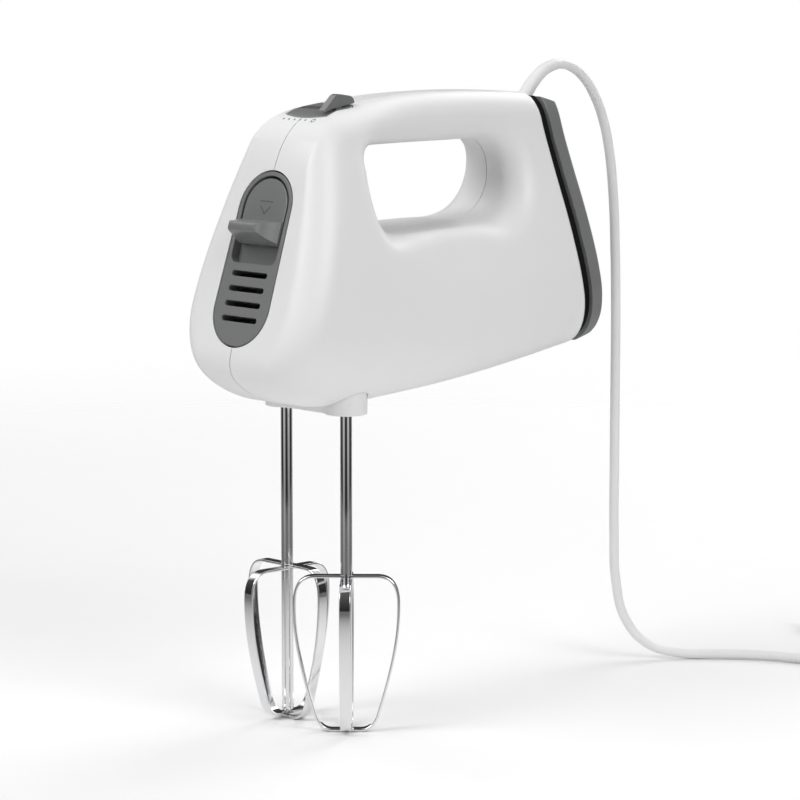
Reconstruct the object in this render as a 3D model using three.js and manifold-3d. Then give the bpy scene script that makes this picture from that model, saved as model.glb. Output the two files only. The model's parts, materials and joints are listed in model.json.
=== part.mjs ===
// Hand mixer with two wire-loop beaters: split white housing, worm-drive universal motor, sliding
// speed lever, beater ejector, heel plate and mains lead.
// Millimetres, +Z up, nose towards -Y, the two beater spindles side by side along X.
// Everything is laid out from the spindle plane (y = 0) and the floor under the beaters (z = 0);
// the whole group is then moved so that its origin is the middle of its footprint.
import * as THREE from 'three';
import { mergeVertices } from 'three/addons/utils/BufferGeometryUtils.js';
import Module from 'manifold-3d';

const wasm = await Module();
wasm.setup();

// ---- driving dimensions ---------------------------------------------------------------------
const MIDDLE_Y = 55.5;           // middle of the footprint, from the spindle plane
const GAP = 0.3;                 // running gap between neighbouring pieces
const WALL = 2.4;                // housing wall
const SPINDLE_X = 19.5;          // half the distance between the two beaters
const NOSE_LEAN = rad(18.2);     // nose face, from the vertical
const REAR_LEAN = rad(12);       // rear face, from the vertical
const NOSE_FOOT = [-49.5, 173.5];   // a point on the nose line (y, z)
const REAR_HEAD = [127.1, 266.4];   // a point on the rear line (y, z)
const HALF_WIDTH = 41.5;         // widest half-width of the housing
const MOTOR_Z = 179;             // height of the motor axis
const PLINTH_Z = 142.6;          // underside of the spindle plate
const GASKET = { from: 0.3, to: 4.2, inset: 2.2 };
const HEEL = { from: 4.5, to: 12.6 };
const PANEL = { y: -38.6, z: 205.3, low: -14.6, lowRadius: 17.6, high: 30, highRadius: 16.7 };
const LEVER = { x: 10.2, travel: 20, thick: 3.7 };
const EJECT_TRAVEL = 8;
const SHAFT_RADIUS = 2.6;        // beater shaft
const SHAFT_TOP = 186;
const CAGE_TOP = 70;             // height of the beater cage
const STRIP = { width: 5.1, thick: 1.2 };
const WHEEL = { teeth: 36, pitch: 15.5, tip: 16.1, root: 14.2, from: 174.5, to: 183.5 };
const WORM = { starts: 3, tip: 4.75, root: 2.95, from: -13, to: 13 };
const MOTOR_SHAFT_RADIUS = 2;
const CORD_RADIUS = 2.3;

// ---- colours --------------------------------------------------------------------------------
const finish = (color, roughness, metalness) =>
  new THREE.MeshStandardMaterial({ color, roughness, metalness });
const WHITE = () => finish(0xececec, 0.25, 0);
const GREY = () => finish(0x77787a, 0.5, 0);
const BLACK = () => finish(0x141414, 0.7, 0);
const STEEL = () => finish(0xc9ccd0, 0.15, 1);
const ZINC = () => finish(0x9a9da2, 0.4, 1);
const COPPER = () => finish(0xb4653a, 0.35, 1);
const BRONZE = () => finish(0xa9814e, 0.4, 1);
const IRON = () => finish(0x5a5c60, 0.55, 0.8);
const NYLON = () => finish(0xe6e1cf, 0.5, 0);
const CARBON = () => finish(0x2b2b2d, 0.8, 0);
const BOARD = () => finish(0x2f6b3c, 0.6, 0);

// ---- solids ---------------------------------------------------------------------------------
function rad(degrees) {
  return (degrees * Math.PI) / 180;
}

// A closed mesh with shared vertices, no collapsed triangles and its faces pointing out.
function closed(geometry) {
  const source = geometry.clone();
  for (const extra of ['normal', 'uv']) source.deleteAttribute(extra);
  const merged = mergeVertices(source, 1e-4);
  const index = merged.index.array;
  const place = merged.attributes.position;
  const [a, b, c] = [new THREE.Vector3(), new THREE.Vector3(), new THREE.Vector3()];
  const kept = [];
  let volume = 0;
  for (let i = 0; i < index.length; i += 3) {
    const [p, q, r] = [index[i], index[i + 1], index[i + 2]];
    if (p === q || q === r || r === p) continue;
    kept.push(p, q, r);
    a.fromBufferAttribute(place, p);
    b.fromBufferAttribute(place, q);
    c.fromBufferAttribute(place, r);
    volume += a.dot(b.cross(c));
  }
  if (volume < 0) kept.reverse();
  merged.setIndex(kept);
  return merged;
}

function solid(geometry) {
  const mesh = closed(geometry);
  return new wasm.Manifold(new wasm.Mesh({
    numProp: 3,
    vertProperties: new Float32Array(mesh.attributes.position.array),
    triVerts: new Uint32Array(mesh.index.array),
  }));
}

function geometryOf(shape) {
  const mesh = shape.getMesh();
  const geometry = new THREE.BufferGeometry();
  geometry.setAttribute('position', new THREE.BufferAttribute(mesh.vertProperties, 3));
  geometry.setIndex(Array.from(mesh.triVerts));
  geometry.computeVertexNormals();
  return geometry;
}

function box(x0, x1, y0, y1, z0, z1) {
  const geometry = new THREE.BoxGeometry(x1 - x0, y1 - y0, z1 - z0);
  return geometry.translate((x0 + x1) / 2, (y0 + y1) / 2, (z0 + z1) / 2);
}

// Turns a piece built along +Z so that it lies along X or Y.
function along(geometry, axis) {
  if (axis === 'x') return geometry.rotateY(Math.PI / 2);
  if (axis === 'y') return geometry.rotateX(-Math.PI / 2);
  return geometry;
}

function rod(radius, from, to, { axis = 'z', x = 0, y = 0, z = 0, sides = 24 } = {}) {
  const geometry = new THREE.CylinderGeometry(radius, radius, to - from, sides);
  geometry.rotateX(Math.PI / 2).translate(0, 0, (from + to) / 2);
  return along(geometry, axis).translate(x, y, z);
}

// A turned piece: profile is [radius, height] pairs of a closed section, or one from axis to axis.
function turned(profile, { axis = 'z', x = 0, y = 0, z = 0, sides = 24 } = {}) {
  const points = profile.map(([r, h]) => new THREE.Vector2(r, h));
  const geometry = new THREE.LatheGeometry(points, sides).rotateX(Math.PI / 2);
  return along(geometry, axis).translate(x, y, z);
}

function ring(inner, outer, from, to, place = {}) {
  const section = [[inner, from], [outer, from], [outer, to], [inner, to], [inner, from]];
  return turned(section, place);
}

function prism(shape, from, to, curveSegments = 8) {
  const geometry = new THREE.ExtrudeGeometry(shape, {
    depth: to - from, bevelEnabled: false, curveSegments,
  });
  return geometry.translate(0, 0, from);
}

function shapeOf(points) {
  return new THREE.Shape(points.map(([x, y]) => new THREE.Vector2(x, y)));
}

// A closed outline moved inwards by a distance, for an outline listed anticlockwise.
function insetOutline(points, distance) {
  const count = points.length;
  return points.map(([x, y], i) => {
    const [ax, ay] = points[(i + count - 1) % count];
    const [bx, by] = points[(i + 1) % count];
    const length = Math.hypot(bx - ax, by - ay);
    return [x - ((by - ay) / length) * distance, y + ((bx - ax) / length) * distance];
  });
}

// A stack of outlines at [height, inset] levels, capped at both ends.
function stack(outline, levels) {
  const positions = [];
  const index = [];
  const count = outline.length;
  for (const [height, inset] of levels) {
    for (const [x, y] of insetOutline(outline, inset)) positions.push(x, y, height);
  }
  for (let level = 0; level < levels.length - 1; level += 1) {
    for (let i = 0; i < count; i += 1) {
      const a = level * count + i;
      const b = level * count + ((i + 1) % count);
      index.push(a, b, b + count, a, b + count, a + count);
    }
  }
  const flat = outline.map(([x, y]) => new THREE.Vector2(x, y));
  const last = (levels.length - 1) * count;
  for (const [p, q, r] of THREE.ShapeUtils.triangulateShape(flat, [])) {
    index.push(r, q, p, last + p, last + q, last + r);
  }
  const geometry = new THREE.BufferGeometry();
  geometry.setAttribute('position', new THREE.Float32BufferAttribute(positions, 3));
  geometry.setIndex(index);
  return geometry;
}

// A tube of constant section along a curve.
function tube(curve, radius, steps, sides) {
  const corners = Array.from({ length: sides }, (_, i) => {
    const angle = (2 * Math.PI * i) / sides;
    return [radius * Math.cos(angle), radius * Math.sin(angle)];
  });
  return new THREE.ExtrudeGeometry(shapeOf(corners), { steps, extrudePath: curve, bevelEnabled: false });
}

// A tapered round piece along a curve: its radius depends on the share of the way along.
function tapered(curve, radiusAt, steps, sides) {
  const frames = curve.computeFrenetFrames(steps, false);
  const positions = [];
  const index = [];
  for (let step = 0; step <= steps; step += 1) {
    const centre = curve.getPointAt(step / steps);
    const radius = radiusAt(step / steps);
    for (let side = 0; side < sides; side += 1) {
      const angle = (2 * Math.PI * side) / sides;
      const point = centre.clone()
        .addScaledVector(frames.normals[step], radius * Math.cos(angle))
        .addScaledVector(frames.binormals[step], radius * Math.sin(angle));
      positions.push(point.x, point.y, point.z);
    }
  }
  for (let step = 0; step < steps; step += 1) {
    for (let side = 0; side < sides; side += 1) {
      const a = step * sides + side;
      const b = step * sides + ((side + 1) % sides);
      index.push(a, b, b + sides, a, b + sides, a + sides);
    }
  }
  const last = steps * sides;
  for (let side = 1; side < sides - 1; side += 1) {
    index.push(0, side + 1, side, last, last + side, last + side + 1);
  }
  const geometry = new THREE.BufferGeometry();
  geometry.setAttribute('position', new THREE.Float32BufferAttribute(positions, 3));
  geometry.setIndex(index);
  return geometry;
}

const mixer = new THREE.Group();

function add(name, shape, material, parent = mixer) {
  const geometry = shape.isBufferGeometry ? closed(shape) : geometryOf(shape);
  const mesh = new THREE.Mesh(geometry, material);
  mesh.name = name;
  parent.add(mesh);
  return mesh;
}

// ---- the housing surface ----------------------------------------------------------------------
// The housing is symmetric about x = 0. Its surface is the half-width over each point (y, z) of the
// side view: a base width, narrowed by a rounded edge along the nose, the bottom, the top, the rear
// and the rim of the handle hole.
const lerp = (a, b, t) => a + (b - a) * t;
const clamp01 = (t) => Math.min(1, Math.max(0, t));
const smooth = (t) => clamp01(t) ** 2 * (3 - 2 * clamp01(t));

// Straight-line interpolation through [position, value] pairs.
function graph(pairs, at) {
  if (at <= pairs[0][0]) return pairs[0][1];
  for (let i = 1; i < pairs.length; i += 1) {
    const [[x0, y0], [x1, y1]] = [pairs[i - 1], pairs[i]];
    if (at <= x1) return lerp(y0, y1, (at - x0) / (x1 - x0));
  }
  return pairs[pairs.length - 1][1];
}

// Half-widths by height in three cross-sections: through the nose, the handle hole and the rear.
const NOSE_WIDTHS = [[195, HALF_WIDTH], [210, 40], [225, 37], [242, 32.6], [263, 25.5], [280, 20.5]];
const GRIP_WIDTHS = [[185, 40], [198, 37.4], [210, 33], [222, 28.6], [240, 21.5], [258, 17], [280, 16.5]];
const REAR_WIDTHS = [[197, 28.8], [219, 25.4], [241, 21], [266, 16.4], [280, 15.5]];
const NOSE_SECTION_Y = -6;
const GRIP_SECTION_Y = 52;
const REAR_SECTION_Y = 140;

function baseWidth(y, z) {
  const front = graph(NOSE_WIDTHS, z);
  const grip = graph(GRIP_WIDTHS, z);
  const rear = graph(REAR_WIDTHS, z);
  if (y < GRIP_SECTION_Y) {
    return lerp(front, grip, smooth((y - NOSE_SECTION_Y) / (GRIP_SECTION_Y - NOSE_SECTION_Y)));
  }
  const share = (y - GRIP_SECTION_Y) / (REAR_SECTION_Y - GRIP_SECTION_Y);
  return lerp(grip, rear, clamp01(share) ** 1.3);
}

const noseLine = (z) => NOSE_FOOT[0] + (z - NOSE_FOOT[1]) * Math.tan(NOSE_LEAN);
const rearLine = (z) => REAR_HEAD[0] + (REAR_HEAD[1] - z) * Math.tan(REAR_LEAN);
const topLine = (y) => 281 - (y < 68 ? 0.0011 : 0.00076) * (y - 68) ** 2;
const bottomLine = (y) => (y < 0
  ? 146.2 + 1.2e-4 * Math.abs(y) ** 3
  : 146.2 + 0.045 * y + 3.3e-4 * y ** 2);

// A quarter-ellipse edge: ratio at the edge itself, 1 at a distance of length and beyond.
function roundedEdge(distance, length, ratio) {
  const share = clamp01(distance / length);
  return ratio + (1 - ratio) * Math.sqrt(1 - (1 - share) ** 2);
}

// Handle hole: a rounded slot in the side view.
const HOLE = { low: 220.6, high: 259.2, front: 9.2, rear: 107.2 };
const holePath = new THREE.Path();
holePath.moveTo(28, HOLE.low);
holePath.lineTo(84, HOLE.low + 1);
holePath.bezierCurveTo(97, HOLE.low + 1.6, HOLE.rear, 230, HOLE.rear, 242);
holePath.bezierCurveTo(HOLE.rear, 252, 102, HOLE.high - 0.4, 92, HOLE.high - 0.3);
holePath.lineTo(24, HOLE.high);
holePath.bezierCurveTo(15, HOLE.high, HOLE.front, 255, HOLE.front, 245);
holePath.bezierCurveTo(HOLE.front, 229, 13, HOLE.low, 28, HOLE.low);

const sidePath = new THREE.Path();
sidePath.moveTo(148.2, 160);
sidePath.bezierCurveTo(110, 155.4, 60, 148.6, -4, 146.2);
sidePath.bezierCurveTo(-24, 145.6, -38, 151, -47.2, 159.4);
sidePath.quadraticCurveTo(-52.6, 164.4, NOSE_FOOT[0], NOSE_FOOT[1]);
sidePath.lineTo(noseLine(249.8), 249.8);
sidePath.bezierCurveTo(-18.6, 267, -9, 273.9, 6, 276.6);
sidePath.bezierCurveTo(22, 280, 42, 281, 68, 281);
sidePath.bezierCurveTo(88, 281, 106, 279.9, 122.6, 278.7);
sidePath.quadraticCurveTo(124.7, 278.4, rearLine(276.2), 276.2);
sidePath.lineTo(rearLine(163), 163);
sidePath.quadraticCurveTo(rearLine(160.2), 160.6, 148.2, 160);

const holeMiddle = new THREE.Vector2(56, 240);

// The brow, from the nose's straight face up to the top, as a line there and back.
const browCurve = new THREE.CubicBezierCurve(
  new THREE.Vector2(noseLine(249.8), 249.8), new THREE.Vector2(-18.6, 267),
  new THREE.Vector2(-9, 273.9), new THREE.Vector2(6, 276.6));
const browPoints = browCurve.getPoints(16);
const browLine = [...browPoints, ...browPoints.slice(1, -1).reverse()];

function distanceToPath(points, y, z) {
  let best = Infinity;
  for (let i = 0; i < points.length; i += 1) {
    const a = points[i];
    const b = points[(i + 1) % points.length];
    const [dy, dz] = [b.x - a.x, b.y - a.y];
    const t = clamp01(((y - a.x) * dy + (z - a.y) * dz) / (dy * dy + dz * dz));
    best = Math.min(best, Math.hypot(y - a.x - t * dy, z - a.y - t * dz));
  }
  return best;
}

const holeOutline = holePath.getSpacedPoints(96).slice(0, -1);

// Half-width of the housing, or of its hollow when inset is the wall thickness.
function halfWidth(y, z, inset = 0) {
  // The nose's rounded corner follows the brow too, and fades out along it.
  const face = (y - noseLine(z)) * Math.cos(NOSE_LEAN);
  const brow = distanceToPath(browLine, y, z) + 15 * smooth((y + 24) / 30);
  const nose = Math.min(face, brow) - inset;
  const rear = (rearLine(z) - y) * Math.cos(REAR_LEAN) - inset;
  const top = topLine(y) - z - inset;
  const bottom = z - bottomLine(y) - inset;
  const forward = smooth((70 - y) / 90);
  let width = baseWidth(y, z) - inset;
  width *= roundedEdge(nose, 15, 0.66);
  width *= roundedEdge(rear, 2.5, 0.94);
  width *= roundedEdge(top, 12, lerp(0.33, 0.46, forward));
  width *= roundedEdge(bottom, lerp(28, 38, forward), 0.3);
  // The rim is crisp below the hole, softer ahead, and softest at the rear pillar and the grip.
  const reach = distanceToPath(holeOutline, y, z) - inset;
  const above = smooth((z - 238) / 22);
  const behind = smooth((y - 70) / 40);
  const soft = Math.max(above, behind, 0.5 * smooth((40 - y) / 30));
  width *= roundedEdge(reach, lerp(8, 13, soft), lerp(0.84, 0.42, soft));
  return width;
}

// One half of the housing as a solid block: the surface over the ring between the hole and the
// outline, closed by the plane x = from.
function halfBlock({ around, across, inset, from }) {
  const outer = sidePath.getSpacedPoints(around).slice(0, -1);
  const rings = outer.map((point, i) => {
    const next = outer[(i + 1) % around];
    const last = outer[(i + around - 1) % around];
    const normal = new THREE.Vector2(next.y - last.y, last.x - next.x).normalize();
    const ray = point.clone().sub(holeMiddle);
    const inner = rayToHole(ray);
    const edge = point.clone().addScaledVector(normal, inset);
    const rim = inner.clone().addScaledVector(ray.normalize(), inset);
    return { edge, rim };
  });
  const positions = [];
  const index = [];
  const steps = across + 3;
  for (const { edge, rim } of rings) {
    positions.push(from, rim.x, rim.y);
    for (let k = 0; k <= across; k += 1) {
      const share = (1 - Math.cos((Math.PI * k) / across)) / 2;
      const spot = rim.clone().lerp(edge, share);
      const width = Math.max(halfWidth(spot.x, spot.y, inset), 1);
      positions.push(width, spot.x, spot.y);
    }
    positions.push(from, edge.x, edge.y);
  }
  for (let i = 0; i < around; i += 1) {
    const next = (i + 1) % around;
    for (let k = 0; k < steps; k += 1) {
      const above = (k + 1) % steps;
      const [a, b] = [i * steps + k, next * steps + k];
      const [c, d] = [next * steps + above, i * steps + above];
      index.push(a, b, c, a, c, d);
    }
  }
  const geometry = new THREE.BufferGeometry();
  geometry.setAttribute('position', new THREE.Float32BufferAttribute(positions, 3));
  geometry.setIndex(index);
  return geometry;
}

// Where a ray from the middle of the handle hole meets its rim.
function rayToHole(direction) {
  for (let i = 0; i < holeOutline.length; i += 1) {
    const a = holeOutline[i].clone().sub(holeMiddle);
    const b = holeOutline[(i + 1) % holeOutline.length].clone().sub(holeMiddle);
    const edge = b.clone().sub(a);
    const scale = direction.cross(edge);
    if (Math.abs(scale) < 1e-9) continue;
    const t = a.cross(edge) / scale;
    const s = a.cross(direction) / scale;
    if (t > 0 && s >= 0 && s < 1) return holeMiddle.clone().addScaledVector(direction, t);
  }
  throw new Error('the handle hole is not closed');
}

const mirrored = (geometry) => geometry.clone().scale(-1, 1, 1);
const FINENESS = { around: 60, across: 9, inset: 0 };
const outerHalf = halfBlock({ ...FINENESS, from: 0 });
const hollowHalf = halfBlock({ around: 36, across: 6, inset: WALL, from: -1 });
const bodyLeft = solid(outerHalf);
const bodyRight = solid(mirrored(outerHalf));
const body = bodyLeft.add(solid(mirrored(halfBlock({ ...FINENESS, from: -0.5 }))));

// ---- local frames -------------------------------------------------------------------------------
// Nose panel: x across, y up the slope, z out of the nose.
const panelFrame = new THREE.Matrix4().makeBasis(
  new THREE.Vector3(1, 0, 0),
  new THREE.Vector3(0, Math.sin(NOSE_LEAN), Math.cos(NOSE_LEAN)),
  new THREE.Vector3(0, -Math.cos(NOSE_LEAN), Math.sin(NOSE_LEAN)),
).setPosition(0, PANEL.y, PANEL.z);
// Rear face: x across, y up the slope, z out of the rear. Its y is 0 at REAR_HEAD.
const rearFrame = new THREE.Matrix4().makeBasis(
  new THREE.Vector3(-1, 0, 0),
  new THREE.Vector3(0, -Math.sin(REAR_LEAN), Math.cos(REAR_LEAN)),
  new THREE.Vector3(0, Math.cos(REAR_LEAN), Math.sin(REAR_LEAN)),
).setPosition(0, REAR_HEAD[0], REAR_HEAD[1]);
const onPanel = (geometry) => geometry.applyMatrix4(panelFrame);
const onRear = (geometry) => geometry.applyMatrix4(rearFrame);

// ---- nose panel and eject slider ----------------------------------------------------------------
// A round-ended outline: half circles of two radii joined by straight sides.
function roundEnded(low, lowRadius, high, highRadius, steps = 12) {
  const points = [];
  for (let i = 0; i <= steps; i += 1) {
    const angle = Math.PI + (Math.PI * i) / steps;
    points.push([lowRadius * Math.cos(angle), low + lowRadius * Math.sin(angle)]);
  }
  for (let i = 0; i <= steps; i += 1) {
    const angle = (Math.PI * i) / steps;
    points.push([highRadius * Math.cos(angle), high + highRadius * Math.sin(angle)]);
  }
  return points;
}

// An outline with a straight foot with rounded corners and a round head.
function roundHeaded(half, foot, corner, high, steps = 12) {
  const points = [];
  for (const [side, start] of [[-1, Math.PI], [1, 1.5 * Math.PI]]) {
    for (let i = 0; i <= 4; i += 1) {
      const angle = start + (Math.PI * i) / 8;
      points.push([
        side * (half - corner) + corner * Math.cos(angle),
        foot + corner + corner * Math.sin(angle),
      ]);
    }
  }
  for (let i = 0; i <= steps; i += 1) {
    const angle = (Math.PI * i) / steps;
    points.push([half * Math.cos(angle), high + half * Math.sin(angle)]);
  }
  return points;
}

const WINDOW = { half: 14.5, foot: 5, corner: 3.5, high: PANEL.high };
const panelOutline = roundEnded(PANEL.low, PANEL.lowRadius, PANEL.high, PANEL.highRadius);
const windowOutline = roundHeaded(WINDOW.half, WINDOW.foot, WINDOW.corner, WINDOW.high);
const SLOTS = { first: 0.2, pitch: 6.7, count: 4, half: 11.4, high: 2.5 };

let panel = solid(onPanel(stack(panelOutline, [[-5.6, 0], [0.1, 0], [0.5, 0.5]])));
panel = panel.subtract(solid(onPanel(stack(windowOutline, [[-4, 0], [3, 0]]))));
panel = panel.subtract(solid(onPanel(box(-4.4, 4.4, 15, 37, -9, 0))));
for (let i = 0; i < SLOTS.count; i += 1) {
  const middle = SLOTS.first - i * SLOTS.pitch;
  const radius = SLOTS.high / 2;
  const slot = roundEnded(0, radius, 2 * (SLOTS.half - radius), radius, 6);
  const across = stack(slot, [[-9, 0], [3, 0]])
    .rotateZ(-Math.PI / 2).translate(-(SLOTS.half - radius), middle, 0);
  panel = panel.subtract(solid(onPanel(across)));
}
add('front_panel', panel, GREY());

// The slider's outer plate, its thumb tab and the arm that reaches in over the ejector yoke.
const sliderOutline = roundHeaded(WINDOW.half - 1.1, 14, 1, WINDOW.high);
const tabProfile = new THREE.Shape();
tabProfile.moveTo(-1, 14.3);
tabProfile.quadraticCurveTo(4.6, 15.4, 9.4, 16.9);
tabProfile.quadraticCurveTo(12, 17.8, 11.6, 20);
tabProfile.quadraticCurveTo(11.2, 21.2, 9.8, 21.4);
tabProfile.lineTo(1.2, 24.2);
tabProfile.lineTo(-1, 24.6);
const tabPlan = new THREE.Shape();
tabPlan.moveTo(-13.2, -2);
tabPlan.lineTo(13.2, -2);
tabPlan.lineTo(13.2, 1);
tabPlan.quadraticCurveTo(10.6, 4.6, 9.9, 8);
tabPlan.quadraticCurveTo(9.2, 12.6, 5, 12.8);
tabPlan.lineTo(-5, 12.8);
tabPlan.quadraticCurveTo(-9.2, 12.6, -9.9, 8);
tabPlan.quadraticCurveTo(-10.6, 4.6, -13.2, 1);
// The profile is extruded across x, the plan up the slope, and the tab is what both share.
const tabAcross = prism(tabProfile, -14, 14, 4).applyMatrix4(new THREE.Matrix4().makeBasis(
  new THREE.Vector3(0, 0, 1), new THREE.Vector3(0, 1, 0), new THREE.Vector3(-1, 0, 0)));
const tabUp = prism(tabPlan, 10, 30, 4).applyMatrix4(new THREE.Matrix4().makeBasis(
  new THREE.Vector3(1, 0, 0), new THREE.Vector3(0, 0, 1), new THREE.Vector3(0, -1, 0)));
const tab = solid(onPanel(tabAcross)).intersect(solid(onPanel(tabUp)));
const ARM = { low: 226.5, high: 230.5, inner: -12, outer: -30 };
const slider = solid(onPanel(stack(sliderOutline, [[-3.7, 0], [-0.1, 0], [0.3, 0.4]])))
  .add(tab)
  .add(solid(box(-3, 3, ARM.outer, ARM.inner, ARM.low, ARM.high)));
add('eject_slider', slider, GREY());

// ---- speed plate and lever ------------------------------------------------------------------------
const PLATE = { half: 13.2, front: -7.4, corner: -5.2, rear: 11.5 };
function platePlan(grow) {
  const plan = new THREE.Shape();
  plan.moveTo(-PLATE.half - grow, PLATE.corner - grow);
  plan.quadraticCurveTo(0, 2 * PLATE.front - PLATE.corner - grow, PLATE.half + grow, PLATE.corner - grow);
  plan.lineTo(PLATE.half + grow, PLATE.rear - 3 + grow);
  plan.quadraticCurveTo(PLATE.half + grow, PLATE.rear + grow, PLATE.half - 3 + grow, PLATE.rear + grow);
  plan.lineTo(-PLATE.half + 3 - grow, PLATE.rear + grow);
  plan.quadraticCurveTo(-PLATE.half - grow, PLATE.rear + grow, -PLATE.half - grow, PLATE.rear - 3 + grow);
  return plan;
}
const LEVER_SLOT = { half: LEVER.x + 2, from: 1.4, to: 5.4 };
const plateBlank = body.intersect(solid(prism(platePlan(0), 262, 290, 6)));
const speedPlate = plateBlank
  .subtract(body.translate([0, 0, -2.4]))
  .subtract(solid(box(-LEVER_SLOT.half, LEVER_SLOT.half, LEVER_SLOT.from, LEVER_SLOT.to, 260, 292)));
add('speed_plate', speedPlate, GREY());

const fin = new THREE.Shape();
fin.moveTo(-5.4, 275.6);
fin.lineTo(1, 281.6);
fin.quadraticCurveTo(2.2, 282.6, 3.6, 282.5);
fin.lineTo(9.4, 281.6);
fin.quadraticCurveTo(12.4, 281, 12.4, 278.4);
fin.lineTo(-5.2, 275.4);
const finSolid = prism(fin, -LEVER.thick / 2, LEVER.thick / 2, 4)
  .applyMatrix4(new THREE.Matrix4().makeBasis(
    new THREE.Vector3(0, 1, 0), new THREE.Vector3(0, 0, 1), new THREE.Vector3(1, 0, 0)))
  .translate(LEVER.x, 0, 0);
const STEM_FOOT = 262.4;
const lever = solid(finSolid)
  .add(solid(box(LEVER.x - 1.5, LEVER.x + 1.5, 1.8, 5, STEM_FOOT, 279)));
add('speed_lever', lever, GREY());

// ---- housing halves ---------------------------------------------------------------------------------
const plinthPlan = (grow) => {
  const plan = new THREE.Shape();
  const [boss, web] = [9.4 + grow, 6.4 + grow];
  const reach = Math.sqrt(boss * boss - web * web);
  const meet = Math.atan2(web, reach);
  plan.moveTo(-SPINDLE_X + reach, -web);
  plan.lineTo(SPINDLE_X - reach, -web);
  plan.absarc(SPINDLE_X, 0, boss, Math.PI + meet, 3 * Math.PI - meet, false);
  plan.lineTo(-SPINDLE_X + reach, web);
  plan.absarc(-SPINDLE_X, 0, boss, meet, 2 * Math.PI - meet, false);
  return plan;
};

// Closing screws go in from the right half, along x, into blind bosses in the left half.
const SCREWS = [
  { y: 18, z: 269.6 }, { y: 113, z: 262 }, { y: -29, z: 163.5 }, { y: 120, z: 171 },
];
const SCREW = { shank: 1.3, head: 2.6, seat: -9, tip: 11 };

// Each boss ends halfway through the wall it stands on.
function seats(side) {
  const within = side === 'left' ? bodyLeft.translate(-WALL / 2, 0, 0)
    : bodyRight.translate(WALL / 2, 0, 0);
  return SCREWS.map(({ y, z }) => {
    const post = side === 'left' ? rod(3.6, 0.15, 45, { axis: 'x', y, z, sides: 12 })
      : rod(4.6, -45, -0.15, { axis: 'x', y, z, sides: 12 });
    return within.intersect(solid(post));
  });
}

function screwHoles(side, shell) {
  let cut = shell;
  for (const { y, z } of SCREWS) {
    const holes = side === 'left'
      ? [rod(SCREW.shank + GAP, -2, SCREW.tip + 1, { axis: 'x', y, z, sides: 12 })]
      : [rod(SCREW.shank + GAP, SCREW.seat - 1, 2, { axis: 'x', y, z, sides: 12 }),
        rod(SCREW.head + GAP, -50, SCREW.seat, { axis: 'x', y, z, sides: 12 })];
    for (const hole of holes) cut = cut.subtract(solid(hole));
  }
  return cut;
}

// The lead leaves through the rear face along this line.
const LEAD = { root: [0, 121, 262], tilt: rad(51.7), hole: 3.9 };
const leadAxis = new THREE.Vector3(0, Math.cos(LEAD.tilt), Math.sin(LEAD.tilt));
const leadHole = solid(rod(LEAD.hole, 2, 40, { sides: 16 })
  .rotateX(-(Math.PI / 2 - LEAD.tilt)).translate(...LEAD.root));

const panelOpening = solid(onPanel(stack(insetOutline(panelOutline, -0.35), [[-9, 0], [6, 0]])));
const plateOpening = solid(prism(platePlan(0.35), 265, 292, 6));
const plinthOpening = solid(prism(plinthPlan(0.35), 140, 158, 10));
const heelBolts = [{ v: -16, x: 0 }, { v: -88, x: 0 }];

for (const side of ['left', 'right']) {
  const sign = side === 'left' ? 1 : -1;
  const block = side === 'left' ? bodyLeft : bodyRight;
  const hollow = solid(sign === 1 ? hollowHalf : mirrored(hollowHalf));
  let shell = block.subtract(hollow);
  for (const boss of seats(side)) shell = shell.add(boss);
  shell = screwHoles(side, shell);
  for (const opening of [panelOpening, plateOpening, plinthOpening, leadHole]) {
    shell = shell.subtract(opening);
  }
  for (const { v } of heelBolts) {
    shell = shell.subtract(solid(onRear(rod(SCREW.shank + GAP, -9, 3, { y: v, sides: 12 }))));
  }
  // Half a parting gap, so that the two halves don't touch.
  const trim = side === 'left' ? box(-60, 0.1, -80, 180, 120, 300) : box(-0.1, 60, -80, 180, 120, 300);
  add(`housing_${side}`, shell.subtract(solid(trim)), WHITE());
}

SCREWS.forEach(({ y, z }, i) => {
  const place = { axis: 'x', y, z, sides: 12 };
  const screw = [
    [0, SCREW.seat - 2.2], [SCREW.head, SCREW.seat - 2.2], [SCREW.head, SCREW.seat - GAP],
    [SCREW.shank, SCREW.seat - GAP], [SCREW.shank, SCREW.tip - 1.5], [0, SCREW.tip],
  ];
  add(`housing_screw_${i + 1}`, turned(screw, place), ZINC());
});

// ---- spindle plate under the nose ------------------------------------------------------------------
// A thick floor with the two sockets, and a rim that stands up inside the housing's opening.
let plinth = solid(prism(plinthPlan(0), PLINTH_Z, 156.5, 10))
  .subtract(solid(prism(plinthPlan(-1.8), 150.5, 160, 10)));
for (const x of [-SPINDLE_X, SPINDLE_X]) plinth = plinth.subtract(solid(rod(5, 130, 160, { x })));
add('spindle_plate', plinth, WHITE());

// ---- rear gasket, heel plate and its screws ----------------------------------------------------------
// The rear outline follows the housing's own rear edge.
function rearOutline() {
  const heights = [159.9, 161.2, 163.5, 168, 175, 185, 197, 210, 225, 240, 255, 267, 273, 276.6, 278.2];
  const point = (z) => {
    const y = rearLine(z) - 2.6;
    const up = (z - REAR_HEAD[1]) / Math.cos(REAR_LEAN);
    return [halfWidth(Math.min(y, rearLine(z)), Math.max(z, bottomLine(y) + 0.05)), up];
  };
  const right = heights.map(point);
  const left = right.slice().reverse().map(([x, up]) => [-x, up]);
  return [...right, ...left];
}
const rearEdge = rearOutline();

let gasket = solid(onRear(stack(insetOutline(rearEdge, GASKET.inset),
  [[GASKET.from, 0], [GASKET.to, 0]])));
let heel = solid(onRear(stack(rearEdge,
  [[HEEL.from, 0.5], [HEEL.from + 0.6, 0], [HEEL.to - 2.4, 0], [HEEL.to - 0.7, 0.9], [HEEL.to, 2.4]])));
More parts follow.
